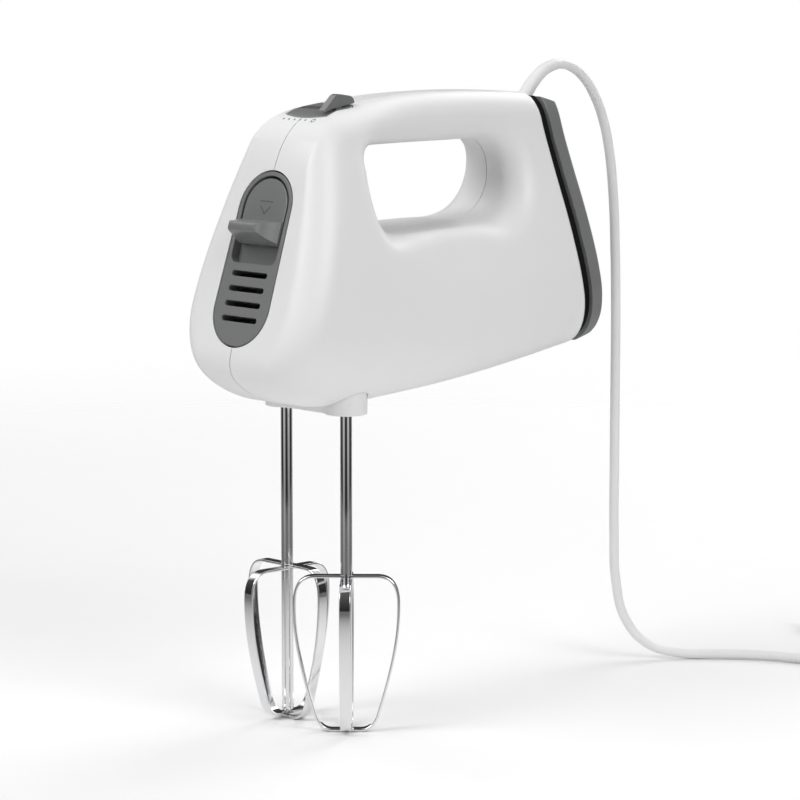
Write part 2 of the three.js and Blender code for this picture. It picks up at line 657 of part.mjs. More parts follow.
// Their top end carries on the slope of the housing's top.
const topSlope = solid(box(-30, 30, -4, 40, 0, 20).rotateX(-Math.atan(0.35))
  .translate(0, 124.5, 278.2));
// The heel's lower end is cut back towards the housing.
const footSlope = solid(box(-45, 45, -6, 30, -20, 0).rotateX(rad(41)).translate(0, 153.6, 160.2));
gasket = gasket.subtract(leadHole).subtract(topSlope);
heel = heel.subtract(leadHole).subtract(topSlope).subtract(footSlope);
const HEEL_SEAT = 8.5;
for (const { v } of heelBolts) {
  const shank = onRear(rod(SCREW.shank + GAP, -1, 14, { y: v, sides: 12 }));
  gasket = gasket.subtract(solid(shank));
  heel = heel.subtract(solid(shank)).subtract(
    solid(onRear(rod(SCREW.head + GAP, HEEL_SEAT, 14, { y: v, sides: 12 }))));
}
add('rear_gasket', gasket, BLACK());
add('heel_plate', heel, GREY());
heelBolts.forEach(({ v }, i) => {
  const screw = [[0, HEEL_SEAT + 2.4], [SCREW.head, HEEL_SEAT + 2.4], [SCREW.head, HEEL_SEAT + GAP],
    [SCREW.shank, HEEL_SEAT + GAP], [SCREW.shank, -5], [0, -6.5]];
  add(`heel_screw_${i + 1}`, onRear(turned(screw, { y: v, sides: 12 })), ZINC());
});

// ---- motor and worm ------------------------------------------------------------------------------------
const onMotor = (sides = 24) => ({ axis: 'y', z: MOTOR_Z, sides });
const shaftEnds = [-22, 106];
add('motor_shaft', rod(MOTOR_SHAFT_RADIUS, ...shaftEnds, onMotor(16)), STEEL());

// A toothed section twisted along its axis, closed at both ends: the worm's threads, the wheels'
// teeth and the slotted cores.
function twisted(radiusAt, points, from, to, turnsPerLength, slices) {
  const positions = [];
  const index = [];
  for (let slice = 0; slice <= slices; slice += 1) {
    const height = lerp(from, to, slice / slices);
    const twist = 2 * Math.PI * turnsPerLength * (height - (from + to) / 2);
    for (let i = 0; i < points; i += 1) {
      const angle = (2 * Math.PI * i) / points;
      const radius = radiusAt(angle);
      positions.push(radius * Math.cos(angle + twist), radius * Math.sin(angle + twist), height);
    }
  }
  const ends = positions.length / 3;
  positions.push(0, 0, from, 0, 0, to);
  for (let i = 0; i < points; i += 1) {
    const next = (i + 1) % points;
    for (let slice = 0; slice < slices; slice += 1) {
      const [a, b] = [slice * points + i, slice * points + next];
      index.push(a, b, b + points, a, b + points, a + points);
    }
    index.push(next, i, ends, slices * points + i, slices * points + next, ends + 1);
  }
  const geometry = new THREE.BufferGeometry();
  geometry.setAttribute('position', new THREE.Float32BufferAttribute(positions, 3));
  geometry.setIndex(index);
  return geometry;
}

// The same, bored for the motor shaft and laid on the motor axis.
function onShaft(geometry) {
  return solid(along(geometry, 'y').translate(0, 0, MOTOR_Z))
    .subtract(solid(rod(MOTOR_SHAFT_RADIUS + GAP, -60, 140, onMotor(16))));
}

// Teeth as a wave between root and tip, narrower at the tip than at the root.
function wave(teeth, root, tip, sharpness) {
  return (angle) => lerp(root, tip, ((1 + Math.cos(teeth * angle)) / 2) ** sharpness);
}
const axialPitch = (2 * Math.PI * WHEEL.pitch) / WHEEL.teeth;
const wormLead = axialPitch * WORM.starts;
const wormPitchRadius = SPINDLE_X - WHEEL.pitch;
const wormAngle = Math.atan(wormLead / (2 * Math.PI * wormPitchRadius));
const wheelTwist = Math.tan(wormAngle) / (2 * Math.PI * WHEEL.pitch);
const worm = twisted(wave(WORM.starts, WORM.root, WORM.tip, 1.6), 18,
  WORM.from, WORM.to, 1 / wormLead, 40);
add('worm', onShaft(worm), STEEL());

const HUB = { outer: 6.4, bore: SHAFT_RADIUS + GAP, from: 160.5, to: 190 };
for (const [side, x] of [['left', SPINDLE_X], ['right', -SPINDLE_X]]) {
  const teeth = twisted(wave(WHEEL.teeth, WHEEL.root, WHEEL.tip, 1.5), 144,
    WHEEL.from, WHEEL.to, wheelTwist, 2);
  // The worm shows a thread to the left wheel where it shows a space to the right one.
  if (side === 'left') teeth.rotateZ(Math.PI / WHEEL.teeth);
  const wheel = solid(teeth).add(solid(rod(HUB.outer, HUB.from, HUB.to, { sides: 20 })))
    .subtract(solid(rod(HUB.bore, 150, 200, { sides: 20 })));
  add(`drive_gear_${side}`, wheel.translate([x, 0, 0]), NYLON());
  add(`spindle_bush_${side}`, ring(HUB.outer + GAP, 8.6, 158.6, 165.6, { x, sides: 20 }), BRONZE());
}

const stator = () => {
  const plan = new THREE.Shape();
  const [w, h, r] = [26, 23, 11];
  plan.absarc(w - r, -h + r, r, -Math.PI / 2, 0, false);
  plan.absarc(w - r, h - r, r, 0, Math.PI / 2, false);
  plan.absarc(-w + r, h - r, r, Math.PI / 2, Math.PI, false);
  plan.absarc(-w + r, -h + r, r, Math.PI, 1.5 * Math.PI, false);
  return plan;
};
const STACK = { from: 47, to: 71 };
let core = solid(along(prism(stator(), STACK.from, STACK.to, 4), 'y').translate(0, 0, MOTOR_Z));
core = core.subtract(solid(rod(15, 40, 80, onMotor(28))));
for (const x of [-14.2, 14.2]) {
  for (const z of [-15.8, 15.8]) {
    core = core.subtract(solid(box(x - 3.6, x + 3.6, 40, 80, MOTOR_Z + z - 4, MOTOR_Z + z + 4)));
  }
}
add('stator_core', core, IRON());
for (const [name, sign] of [['upper', 1], ['lower', -1]]) {
  const [near, far] = [MOTOR_Z + sign * 13.5, MOTOR_Z + sign * 18.5];
  const [low, high] = [Math.min(near, far), Math.max(near, far)];
  const coil = solid(box(-17, 17, 41.4, 76.6, low, high))
    .subtract(solid(box(-11.2, 11.2, 46.6, 71.4, low - 1, high + 1)))
    .subtract(solid(rod(15.4, 30, 90, onMotor(28))));
  add(`field_coil_${name}`, coil, COPPER());
}

const slotted = (angle) => (Math.cos(12 * angle) < -0.45 ? 11.6 : 14);
add('armature_core', onShaft(twisted(slotted, 72, STACK.from, STACK.to, 0.002, 1)), IRON());
const winding = (from, to) => [[4, from], [10, from], [11.6, (from + to) / 2], [10, to], [4, to], [4, from]];
add('armature_winding_front', turned(winding(41.6, 46.7), onMotor()), COPPER());
add('armature_winding_rear', turned(winding(71.3, 76.8), onMotor()), COPPER());
const bars = (angle) => (Math.cos(16 * angle) < -0.8 ? 7.4 : 8);
add('commutator', onShaft(twisted(bars, 64, 79, 92, 0, 1)), COPPER());

// Eight-bladed radial cooling fan.
const FAN = { from: 30, to: 38.5, hub: 6, tip: 20.5, blades: 8 };
let fan = solid(ring(MOTOR_SHAFT_RADIUS + GAP, FAN.tip, FAN.from, FAN.from + 1.4, onMotor()))
  .add(solid(ring(MOTOR_SHAFT_RADIUS + GAP, FAN.hub, FAN.from, FAN.to, onMotor(16))));
for (let i = 0; i < FAN.blades; i += 1) {
  const blade = box(FAN.hub - 1, FAN.tip - 0.4, FAN.from + 1, FAN.to, -0.6, 0.6)
    .rotateY((2 * Math.PI * i) / FAN.blades).translate(0, 0, MOTOR_Z);
  fan = fan.add(solid(blade));
}
add('cooling_fan', fan, NYLON());

// ---- frames that hold the drive -----------------------------------------------------------------------
const BEARING = { inner: MOTOR_SHAFT_RADIUS + GAP, outer: 6 };
add('front_bearing', ring(BEARING.inner, BEARING.outer, 19.6, 26.4, onMotor(20)), BRONZE());
add('rear_bearing', ring(BEARING.inner, BEARING.outer, 97, 103.4, onMotor(20)), BRONZE());
add('worm_end_bush', ring(BEARING.inner, 4.4, -22.4, -17.4, onMotor(16)), BRONZE());

let base = solid(box(-28.6, 28.6, -11, 11, 159.6, 163.6))
  .add(solid(box(-9, 9, -23, 27, 159.6, 163.6)))
  .add(solid(box(-7, 7, -23, -17, 162, 191.6)))
  .add(solid(box(-12, 12, 19.4, 26.6, 162, 191.6)));
for (const x of [-SPINDLE_X, SPINDLE_X]) base = base.subtract(solid(rod(8.9, 150, 170, { x, sides: 20 })));
base = base.subtract(solid(rod(4.8, -30, -10, onMotor(16))))
  .subtract(solid(rod(BEARING.outer + GAP, 15, 30, onMotor(20))))
  .subtract(solid(rod(WORM.tip + 0.8, -22, 20, { ...onMotor(16) })));
add('gearbox_base', base, NYLON());

const LID = { from: 192, to: 195 };
let lid = solid(box(-28, 28, -11, 11, LID.from, LID.to))
  .add(solid(box(-7, 7, -23, 26.6, LID.from, LID.to)));
for (const x of [-SPINDLE_X, SPINDLE_X]) lid = lid.subtract(solid(rod(3.2, 180, 200, { x, sides: 16 })));
add('gearbox_lid', lid, NYLON());

const bracket = solid(box(-18, 18, 96.6, 103.8, 170, 196))
  .add(solid(box(-18, 18, 96.6, 103.8, 160.6, 171)))
  .subtract(solid(rod(BEARING.outer + GAP, 90, 110, onMotor(20))));
add('motor_bracket', bracket, NYLON());
for (const [side, sign] of [['left', 1], ['right', -1]]) {
  const across = (from, to) => [Math.min(sign * from, sign * to), Math.max(sign * from, sign * to)];
  const brushBox = (from, to, half) =>
    box(...across(from, to), 85.5 - half, 85.5 + half, MOTOR_Z - half, MOTOR_Z + half);
  const holder = solid(brushBox(10, 23, 4.4)).subtract(solid(brushBox(5, 21, 2.8)));
  add(`brush_holder_${side}`, holder, BRONZE());
  add(`brush_${side}`, brushBox(8.3, 17, 2.5), CARBON());
}

// ---- ejector ------------------------------------------------------------------------------------------
const YOKE = { low: 208, high: 212, pinFoot: 194.4, pin: 2.2 };
let yoke = solid(box(-23, 23, -4, 4, YOKE.low, YOKE.high))
  .add(solid(box(-3, 3, -18, 0, YOKE.low, YOKE.high)))
  .add(solid(box(-3, 3, -18, -13.5, YOKE.low, ARM.low - GAP)));
for (const x of [-SPINDLE_X, SPINDLE_X]) {
  yoke = yoke.add(solid(rod(YOKE.pin, YOKE.pinFoot, YOKE.low + 1, { x, sides: 12 })));
}
add('ejector_yoke', yoke, NYLON());

class Helix extends THREE.Curve {
  constructor(radius, from, to, turns) {
    super();
    Object.assign(this, { radius, from, to, turns });
  }

  getPoint(t, target = new THREE.Vector3()) {
    const angle = 2 * Math.PI * this.turns * t;
    return target.set(
      this.radius * Math.cos(angle), this.radius * Math.sin(angle), lerp(this.from, this.to, t));
  }
}
const SPRING = { radius: 3.4, wire: 0.5, turns: 5 };
const spring = new Helix(SPRING.radius, LID.to + GAP + SPRING.wire, YOKE.low - GAP - SPRING.wire, SPRING.turns);
add('eject_spring', tube(spring, SPRING.wire, 50, 4), STEEL());

// ---- speed switch and electrics ---------------------------------------------------------------------------
const SLIDE = { low: 257.4, high: 261.4 };
let slide = solid(box(LEVER.x - 3.5, LEVER.x + 3.5, -3, 6, SLIDE.low, SLIDE.high));
for (const [from, to] of [[-3.5, -1.9], [1.9, 3.5]]) {
  slide = slide.add(solid(box(LEVER.x + from, LEVER.x + to, -1, 6, SLIDE.high - 1, STEM_FOOT + 1.4)));
}
add('switch_slider', slide, BLACK());
add('speed_switch', solid(box(-17, 17, -12, 6, 244, 257))
  .subtract(solid(box(-15, 15, -1, 4, 254.5, 260))), BLACK());
add('control_board', box(-13, 13, 112, 113.6, 176, 208), BOARD());
add('suppressor_capacitor', box(-8, 8, 113.9, 121, 182, 199), GREY());

const curveThrough = (points) =>
  new THREE.CatmullRomCurve3(points.map((point) => new THREE.Vector3(...point)), false, 'centripetal');
for (const [side, sign] of [['live', 1], ['neutral', -1]]) {
  const route = [[sign * 16.4, 2, 258.3], [sign * 15.4, 8, 261.4], [sign * 9, 16, 263.1],
    [sign * 4, 28, 266], [sign * 4, 60, 270], [sign * 4, 92, 268], [sign * 5, 109, 256],
    [sign * 6, 113.5, 235], [sign * 6, 113.6, 210.6]];
  add(`wire_${side}`, tube(curveThrough(route), 0.9, 18, 6), sign === 1 ? finish(0x6b4a2b, 0.6, 0) : finish(0x2a5fa8, 0.6, 0));
}

// ---- beaters ---------------------------------------------------------------------------------------------
// Half outline of a wire loop's centre line: radius by height, from the hub down to the middle of
// the foot.
const LOOP_LIFT = 1.5;           // the crossing loop passes over the lower one by this much
function loopHalf(lift) {
  const drop = lift * LOOP_LIFT;
  const path = new THREE.Path();
  path.moveTo(SHAFT_RADIUS + 0.5, CAGE_TOP - drop);
  path.lineTo(14, CAGE_TOP - drop);
  path.bezierCurveTo(21 , CAGE_TOP - drop, 23, 64.5 - drop, 23.2, 58);
  path.bezierCurveTo(23.6, 42, 19.6, 26, 14.2, 8 + drop);
  path.bezierCurveTo(12.6, 3 + drop, 10, STRIP.thick / 2 + drop, 6, STRIP.thick / 2 + drop);
  path.lineTo(0, STRIP.thick / 2 + drop);
  return path.getPoints(5).map(({ x, y }) => [x, y]);
}

// A flat strip bent along the loop: a ribbon of the strip's thickness, extruded to its width.
function beaterLoop(lift) {
  const half = loopHalf(lift).filter(([, z], i, all) => i === 0 || z !== all[i - 1][1] || i > 0);
  const unique = half.filter(([x, z], i) => i === 0
    || Math.hypot(x - half[i - 1][0], z - half[i - 1][1]) > 0.05);
  const middle = [...unique, ...unique.slice(0, -1).reverse().map(([x, z]) => [-x, z])];
  const side = (offset) => middle.map(([x, z], i) => {
    const [ax, az] = middle[Math.max(i - 1, 0)];
    const [bx, bz] = middle[Math.min(i + 1, middle.length - 1)];
    const length = Math.hypot(bx - ax, bz - az);
    return [x - ((bz - az) / length) * offset, z + ((bx - ax) / length) * offset];
  });
  const outline = [...side(STRIP.thick / 2), ...side(-STRIP.thick / 2).reverse()];
  return prism(shapeOf(outline), -STRIP.width / 2, STRIP.width / 2).rotateX(Math.PI / 2);
}

const FOOT_CLEAR = 2 * LOOP_LIFT + 0.2;
for (const [side, x, turn] of [['left', SPINDLE_X, 45], ['right', -SPINDLE_X, 0]]) {
  const profile = [[0, FOOT_CLEAR], [SHAFT_RADIUS - 0.4, FOOT_CLEAR], [SHAFT_RADIUS, FOOT_CLEAR + 0.6],
    [SHAFT_RADIUS, SHAFT_TOP - 2], [SHAFT_RADIUS - 1.2, SHAFT_TOP], [0, SHAFT_TOP]];
  const ears = box(-4.2, 4.2, -0.6, 0.6, 153, 156.5);
  const shaft = solid(turned(profile, { sides: 20 })).add(solid(ears));
  add(`beater_shaft_${side}`, shaft.translate([x, 0, 0]), STEEL());
  for (const [lift, name] of [[0, 'outer'], [1, 'inner']]) {
    const loop = beaterLoop(lift).rotateZ(rad(turn + lift * 90)).translate(x, 0, 0);
    add(`beater_loop_${name}_${side}`, loop, STEEL());
  }
}

// ---- mains lead --------------------------------------------------------------------------------------------
// The lead lies in its own plane down to the floor, then runs out to a coil, where it is tied.
const ON_FLOOR = CORD_RADIUS + 0.2;
const ROUTE = [
  [0, 121, 262], [0, 126.6, 269.1], [0, 132.2, 276.2], [0, 138.2, 282.8], [0, 146, 288.2],
  [0, 155.4, 290.2], [0, 164.6, 288.2], [0, 172.6, 283], [0, 179.4, 275.2], [0, 185.4, 264.4],
  [0, 190, 250], [0.2, 193.2, 228], [0.6, 194.6, 200], [1, 195, 165], [1, 195, 130], [1, 195, 95],
  [1, 195.2, 62], [1.8, 196, 38], [5, 199.6, 19.6], [12.4, 207.2, 7.6], [23, 218, ON_FLOOR + 0.5],
  [37, 232, ON_FLOOR], [52, 244, ON_FLOOR], [68, 251.4, ON_FLOOR], [85.8, 254.8, ON_FLOOR],
];
const leadPath = curveThrough(ROUTE);

// A stretch of a curve between two shares of its length.
class Stretch extends THREE.Curve {
  constructor(curve, from, to) {
    super();
    Object.assign(this, { curve, from, to });
  }

  getPoint(t, target = new THREE.Vector3()) {
    return this.curve.getPointAt(lerp(this.from, this.to, t), target);
  }
}
const RELIEF = { length: 44, inside: 0.45, root: 3.3, mouth: 3, tip: 2.6 };
const leadLength = leadPath.getLength();
const relief = new Stretch(leadPath, 0, RELIEF.length / leadLength);
const reliefRadius = (t) => (t < RELIEF.inside ? RELIEF.root
  : lerp(RELIEF.mouth, RELIEF.tip, (t - RELIEF.inside) / (1 - RELIEF.inside)));
add('strain_relief', tapered(relief, reliefRadius, 16, 12), WHITE());
const free = new Stretch(leadPath, (RELIEF.length + GAP) / leadLength, 1);
add('mains_lead', tube(free, CORD_RADIUS, 50, 8), WHITE());

// The rest of the lead is a round coil of two by two turns; the tie passes round it.
const COIL = { x: 102, y: 286, inner: 22.2, outer: 32.2, low: 1, high: 10.2, bevel: 1.2 };
const coilSection = [
  [COIL.inner + COIL.bevel, COIL.low], [COIL.outer - COIL.bevel, COIL.low],
  [COIL.outer, COIL.low + COIL.bevel], [COIL.outer, COIL.high - COIL.bevel],
  [COIL.outer - COIL.bevel, COIL.high], [COIL.inner + COIL.bevel, COIL.high],
  [COIL.inner, COIL.high - COIL.bevel], [COIL.inner, COIL.low + COIL.bevel],
  [COIL.inner + COIL.bevel, COIL.low],
];
add('lead_coil', turned(coilSection, { x: COIL.x, y: COIL.y, sides: 32 }), WHITE());
const TIE = { width: 5, gap: 0.3, thick: 0.6, turn: rad(205) };
const tieBand = (grow, width) => {
  const reach = TIE.gap + grow;
  return box(COIL.inner - reach - 0.1, COIL.outer + reach, -width / 2, width / 2,
    COIL.low - reach, COIL.high + reach);
};
const tie = solid(tieBand(TIE.thick, TIE.width)).subtract(solid(tieBand(0, TIE.width + 2)));
add('lead_tie', tie.rotate([0, 0, THREE.MathUtils.radToDeg(TIE.turn)]).translate([COIL.x, COIL.y, 0]),
  BLACK());

// A flat two-pin plug lies beside the coil, in line with the tangent at which the lead leaves it.
const PLUG = { leaves: rad(82), radius: 29.5, boot: 20, body: 32, face: 68, pins: 87, half: 17.6 };
const plugFrame = new THREE.Matrix4().makeRotationZ(PLUG.leaves + Math.PI / 2).setPosition(
  COIL.x + PLUG.radius * Math.cos(PLUG.leaves), COIL.y + PLUG.radius * Math.sin(PLUG.leaves), 0);
const PLUG_HEIGHT = 13.7;
const plugPlan = [
  [PLUG.body, -9], [PLUG.body + 9, -13.4], [PLUG.face - 12, -PLUG.half], [PLUG.face, -PLUG.half],
  [PLUG.face, PLUG.half], [PLUG.face - 12, PLUG.half], [PLUG.body + 9, 13.4], [PLUG.body, 9],
];
const plugCentre = PLUG_HEIGHT / 2 + 0.2;
const plugBody = solid(stack(plugPlan, [[0.2, 1.6], [2.6, 0], [PLUG_HEIGHT - 2.2, 0],
  [PLUG_HEIGHT + 0.2, 1.6]]));
const plugBoot = [[0, PLUG.boot], [3, PLUG.boot], [5, PLUG.body], [5, PLUG.body + 3], [0, PLUG.body + 3]];
const boot = turned(plugBoot, { axis: 'x', z: plugCentre, sides: 12 });
const pinPlaces = [-9.5, 9.5];
let plug = plugBody.add(solid(boot));
for (const y of pinPlaces) {
  const hole = { axis: 'x', y, z: plugCentre, sides: 16 };
  plug = plug.subtract(solid(rod(2 + GAP, PLUG.face - 8, PLUG.face + 2, hole)));
}
add('mains_plug', geometryOf(plug).applyMatrix4(plugFrame), WHITE());
pinPlaces.forEach((y, i) => {
  const profile = [[0, PLUG.face - 7.7], [2, PLUG.face - 7.7], [2, PLUG.pins - 1], [1.2, PLUG.pins],
    [0, PLUG.pins]];
  const pin = turned(profile, { axis: 'x', y, z: plugCentre, sides: 12 });
  add(`plug_pin_${i + 1}`, pin.applyMatrix4(plugFrame), STEEL());
});

mixer.position.y = -MIDDLE_Y;
export default mixer;
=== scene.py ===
"""Looks of the hand mixer: fine housing shells, panel, lever, heel plate, beaters, lead and materials.

Lengths are in millimetres, measured from the spindle plane (y = 0) and the floor under the beaters
(z = 0), as in the part's own source. place() turns them into the frame's metres.
"""
import json
import math

import bmesh
import bpy
import numpy as np
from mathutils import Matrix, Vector


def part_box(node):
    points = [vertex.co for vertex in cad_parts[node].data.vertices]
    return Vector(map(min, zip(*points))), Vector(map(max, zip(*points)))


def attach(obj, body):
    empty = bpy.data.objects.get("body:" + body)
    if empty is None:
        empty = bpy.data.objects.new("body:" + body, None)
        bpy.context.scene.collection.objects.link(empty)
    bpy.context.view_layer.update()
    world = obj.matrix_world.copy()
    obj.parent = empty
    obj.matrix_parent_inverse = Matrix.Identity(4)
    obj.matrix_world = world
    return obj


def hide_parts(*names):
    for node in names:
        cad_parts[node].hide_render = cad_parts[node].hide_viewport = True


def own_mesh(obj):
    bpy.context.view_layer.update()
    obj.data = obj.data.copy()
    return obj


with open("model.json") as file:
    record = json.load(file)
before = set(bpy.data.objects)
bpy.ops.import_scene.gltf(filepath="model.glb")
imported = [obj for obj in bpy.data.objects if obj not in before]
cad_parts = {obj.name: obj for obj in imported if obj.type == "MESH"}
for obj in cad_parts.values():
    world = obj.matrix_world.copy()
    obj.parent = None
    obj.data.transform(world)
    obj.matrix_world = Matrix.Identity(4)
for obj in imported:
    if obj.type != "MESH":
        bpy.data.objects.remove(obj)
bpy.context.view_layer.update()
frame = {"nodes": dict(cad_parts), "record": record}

# ---- driving dimensions --------------------------------------------------------------------------
MM = 0.001
GEAR_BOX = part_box("drive_gear_left")
SPINDLE_Y = (GEAR_BOX[0].y + GEAR_BOX[1].y) / 2
SPINDLE_X = 1000 * (GEAR_BOX[0].x + GEAR_BOX[1].x) / 2
WALL = 2.4
SEAM = 0.21                      # half the parting gap between the two housing halves
NOSE_LEAN = math.radians(18.2)
REAR_LEAN = math.radians(12)
NOSE_FOOT = (-49.5, 173.5)
REAR_HEAD = (127.1, 266.4)
HALF_WIDTH = 41.5
PANEL_ORIGIN = (-38.6, 205.3)
PANEL = {"low": -14.6, "low_radius": 17.6, "high": 30.0, "high_radius": 16.7}
WINDOW = {"half": 14.5, "foot": 5.0, "corner": 3.5, "high": 30.0}
SLOTS = {"first": 0.2, "pitch": 6.7, "count": 4, "half": 11.4, "high": 2.5}
PLATE = {"half": 13.2, "front": -7.4, "corner": -5.2, "rear": 11.5, "round": 3.0}
LEVER_X = 10.2
LEVER_THICK = 3.7
SHAFT_RADIUS = 2.6
CAGE_TOP = 70.0
STRIP = {"width": 5.1, "thick": 1.2}
LOOP_LIFT = 1.5
CORD_RADIUS = 2.3


def place(point):
    return (point[0] * MM, point[1] * MM + SPINDLE_Y, point[2] * MM)


# ---- materials -----------------------------------------------------------------------------------
def add_node(nodes, kind, values=None, **settings):
    """A shader node of this kind, with the values of its sockets and its settings."""
    node = nodes.new("ShaderNode" + kind)
    for name, value in settings.items():
        setattr(node, name, value)
    for name, value in (values or {}).items():
        node.inputs[name].default_value = value
    return node


def shader(name, color, roughness, metallic=0.0, coat=0.0, specular=0.5):
    """A Principled material; returns it with its node tree and shader node."""
    material = bpy.data.materials.new(name)
    material.use_nodes = True
    tree = material.node_tree
    surface = tree.nodes["Principled BSDF"]
    surface.inputs["Base Color"].default_value = (*color, 1.0)
    surface.inputs["Roughness"].default_value = roughness
    surface.inputs["Metallic"].default_value = metallic
    surface.inputs["Coat Weight"].default_value = coat
    surface.inputs["Specular IOR Level"].default_value = specular
    return material, tree, surface


def grained(name, color, roughness, grain, depth, tint=0.03, swing=0.05, **finish):
    """A material with fine moulded or drawn grain: noise in its bump, roughness and colour."""
    material, tree, surface = shader(name, color, roughness, **finish)
    nodes, link = tree.nodes, tree.links.new
    spot = add_node(nodes, "TexCoord")
    fine = add_node(nodes, "TexNoise", {"Scale": grain, "Detail": 3.0})
    broad = add_node(nodes, "TexNoise", {"Scale": 38.0, "Detail": 2.0})
    for noise in (fine, broad):
        link(spot.outputs["Object"], noise.inputs["Vector"])
    bump = add_node(nodes, "Bump", {"Strength": 0.35, "Distance": depth * MM})
    link(fine.outputs["Fac"], bump.inputs["Height"])
    link(bump.outputs["Normal"], surface.inputs["Normal"])
    rough = add_node(nodes, "MapRange", {"To Min": max(roughness - swing, 0.02),
                                         "To Max": roughness + swing})
    link(broad.outputs["Fac"], rough.inputs["Value"])
    link(rough.outputs["Result"], surface.inputs["Roughness"])
    ramp = add_node(nodes, "ValToRGB")
    ramp.color_ramp.elements[0].color = (*[max(c - tint, 0.0) for c in color], 1.0)
    ramp.color_ramp.elements[1].color = (*[min(c + tint, 1.0) for c in color], 1.0)
    link(broad.outputs["Fac"], ramp.inputs["Fac"])
    link(ramp.outputs["Color"], surface.inputs["Base Color"])
    return material


def wound(name, color, pitch):
    """Enamelled copper wire laid side by side."""
    material, tree, surface = shader(name, color, 0.35, metallic=1.0)
    nodes, link = tree.nodes, tree.links.new
    spot = add_node(nodes, "TexCoord")
    wave = add_node(nodes, "TexWave", {"Scale": pitch, "Distortion": 0.4})
    bump = add_node(nodes, "Bump", {"Distance": 0.3 * MM})
    link(spot.outputs["Object"], wave.inputs["Vector"])
    link(wave.outputs["Fac"], bump.inputs["Height"])
    link(bump.outputs["Normal"], surface.inputs["Normal"])
    return material


MATERIALS = {
    "white_plastic": grained("white_abs", (0.82, 0.82, 0.825), 0.36, 900, 0.012, 0.004, 0.03,
                             specular=0.4),
    "grey_plastic": grained("grey_satin", (0.19, 0.192, 0.195), 0.3, 2600, 0.04, 0.006, 0.05,
                            specular=0.6),
    "black_rubber": grained("black_rubber", (0.006, 0.006, 0.006), 0.7, 1800, 0.05, 0.002,
                            specular=0.15),
    "chrome": grained("chrome_plate", (0.83, 0.83, 0.84), 0.09, 700, 0.012, 0.01, 0.03,
                      metallic=1.0),
    "steel": grained("ground_steel", (0.6, 0.61, 0.63), 0.28, 1500, 0.02, metallic=1.0),
    "zinc_screws": grained("zinc", (0.5, 0.51, 0.53), 0.35, 1200, 0.02, metallic=1.0),
    "copper": wound("copper_wire", (0.72, 0.36, 0.18), 900),
    "bronze": grained("sintered_bronze", (0.5, 0.34, 0.16), 0.45, 2500, 0.04, metallic=1.0),
    "lamination_steel": wound("laminations", (0.2, 0.21, 0.23), 700),
    "nylon": grained("natural_nylon", (0.78, 0.75, 0.64), 0.45, 1200, 0.03),
    "carbon": grained("carbon", (0.02, 0.02, 0.02), 0.7, 2500, 0.05, 0.005),
    "circuit_board": grained("board", (0.03, 0.16, 0.06), 0.4, 1500, 0.02, 0.01),
    "black_plastic": grained("black_plastic", (0.02, 0.02, 0.02), 0.4, 1800, 0.03, 0.004),
    "live_wire": grained("brown_insulation", (0.16, 0.07, 0.03), 0.4, 900, 0.02, 0.01),
    "neutral_wire": grained("blue_insulation", (0.03, 0.1, 0.35), 0.4, 900, 0.02, 0.01),
    "white_cord": grained("white_pvc", (0.83, 0.83, 0.83), 0.4, 1400, 0.03, 0.01),
    "pin_steel": grained("nickel_plate", (0.75, 0.74, 0.72), 0.2, 900, 0.01, metallic=1.0),
}
INK = grained("print_ink", (0.12, 0.12, 0.125), 0.5, 3000, 0.01, 0.004)
LABEL = grained("moulded_mark", (0.11, 0.112, 0.116), 0.5, 3000, 0.02, 0.004)
SLOT_OF = {part["node"]: part["material_slot"] for part in frame["record"]["subparts"]}
for node, cad in frame["nodes"].items():
    cad.data.materials.clear()
    cad.data.materials.append(MATERIALS[SLOT_OF[node]])


# ---- mesh helpers --------------------------------------------------------------------------------
def mesh_piece(name, points, faces, closed=True):
    """A mesh from points in millimetres; a closed one has its faces turned outwards."""
    mesh = bpy.data.meshes.new(name)
    mesh.from_pydata([place(point) for point in points], [], faces)
    mesh.validate()
    if closed:
        work = bmesh.new()
        work.from_mesh(mesh)
        bmesh.ops.recalc_face_normals(work, faces=work.faces)
        work.to_mesh(mesh)
        work.free()
    piece = bpy.data.objects.new(name, mesh)
    bpy.context.scene.collection.objects.link(piece)
    return piece


def apply_modifiers(piece):
    graph = bpy.context.evaluated_depsgraph_get()
    made = bpy.data.meshes.new_from_object(piece.evaluated_get(graph))
    piece.modifiers.clear()
    old, piece.data = piece.data, made
    bpy.data.meshes.remove(old)


def cut(piece, cutters, operation="DIFFERENCE"):
    """Cuts with closed meshes, which are used up."""
    for cutter in cutters:
        modifier = piece.modifiers.new("cut", "BOOLEAN")
        modifier.object = cutter
        modifier.operation = operation
        modifier.solver = "EXACT"
    bpy.context.view_layer.update()
    apply_modifiers(piece)
    for cutter in cutters:
        bpy.data.objects.remove(cutter)


def soften(piece, width, segments=3, limit=35):
    """Rounds every crisp edge."""
    modifier = piece.modifiers.new("bevel", "BEVEL")
    modifier.width = width * MM
    modifier.segments = segments
    modifier.limit_method = "ANGLE"
    modifier.angle_limit = math.radians(limit)
    modifier.use_clamp_overlap = True
    modifier.harden_normals = False
    bpy.context.view_layer.update()
    apply_modifiers(piece)


def finished(piece, body, slot, replaces=(), angle=30, material=None, flat=False):
    """Shades, paints and mounts a piece."""
    for polygon in piece.data.polygons:
        polygon.use_smooth = True
    piece.data.set_sharp_from_angle(angle=math.radians(angle))
    if flat:
        weigh = piece.modifiers.new("weigh", "WEIGHTED_NORMAL")
        weigh.keep_sharp = True
        bpy.context.view_layer.update()
        apply_modifiers(piece)
    piece.data.materials.clear()
    piece.data.materials.append(material or MATERIALS[slot])
    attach(piece, body)
    if replaces:
        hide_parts(*replaces)
    return piece


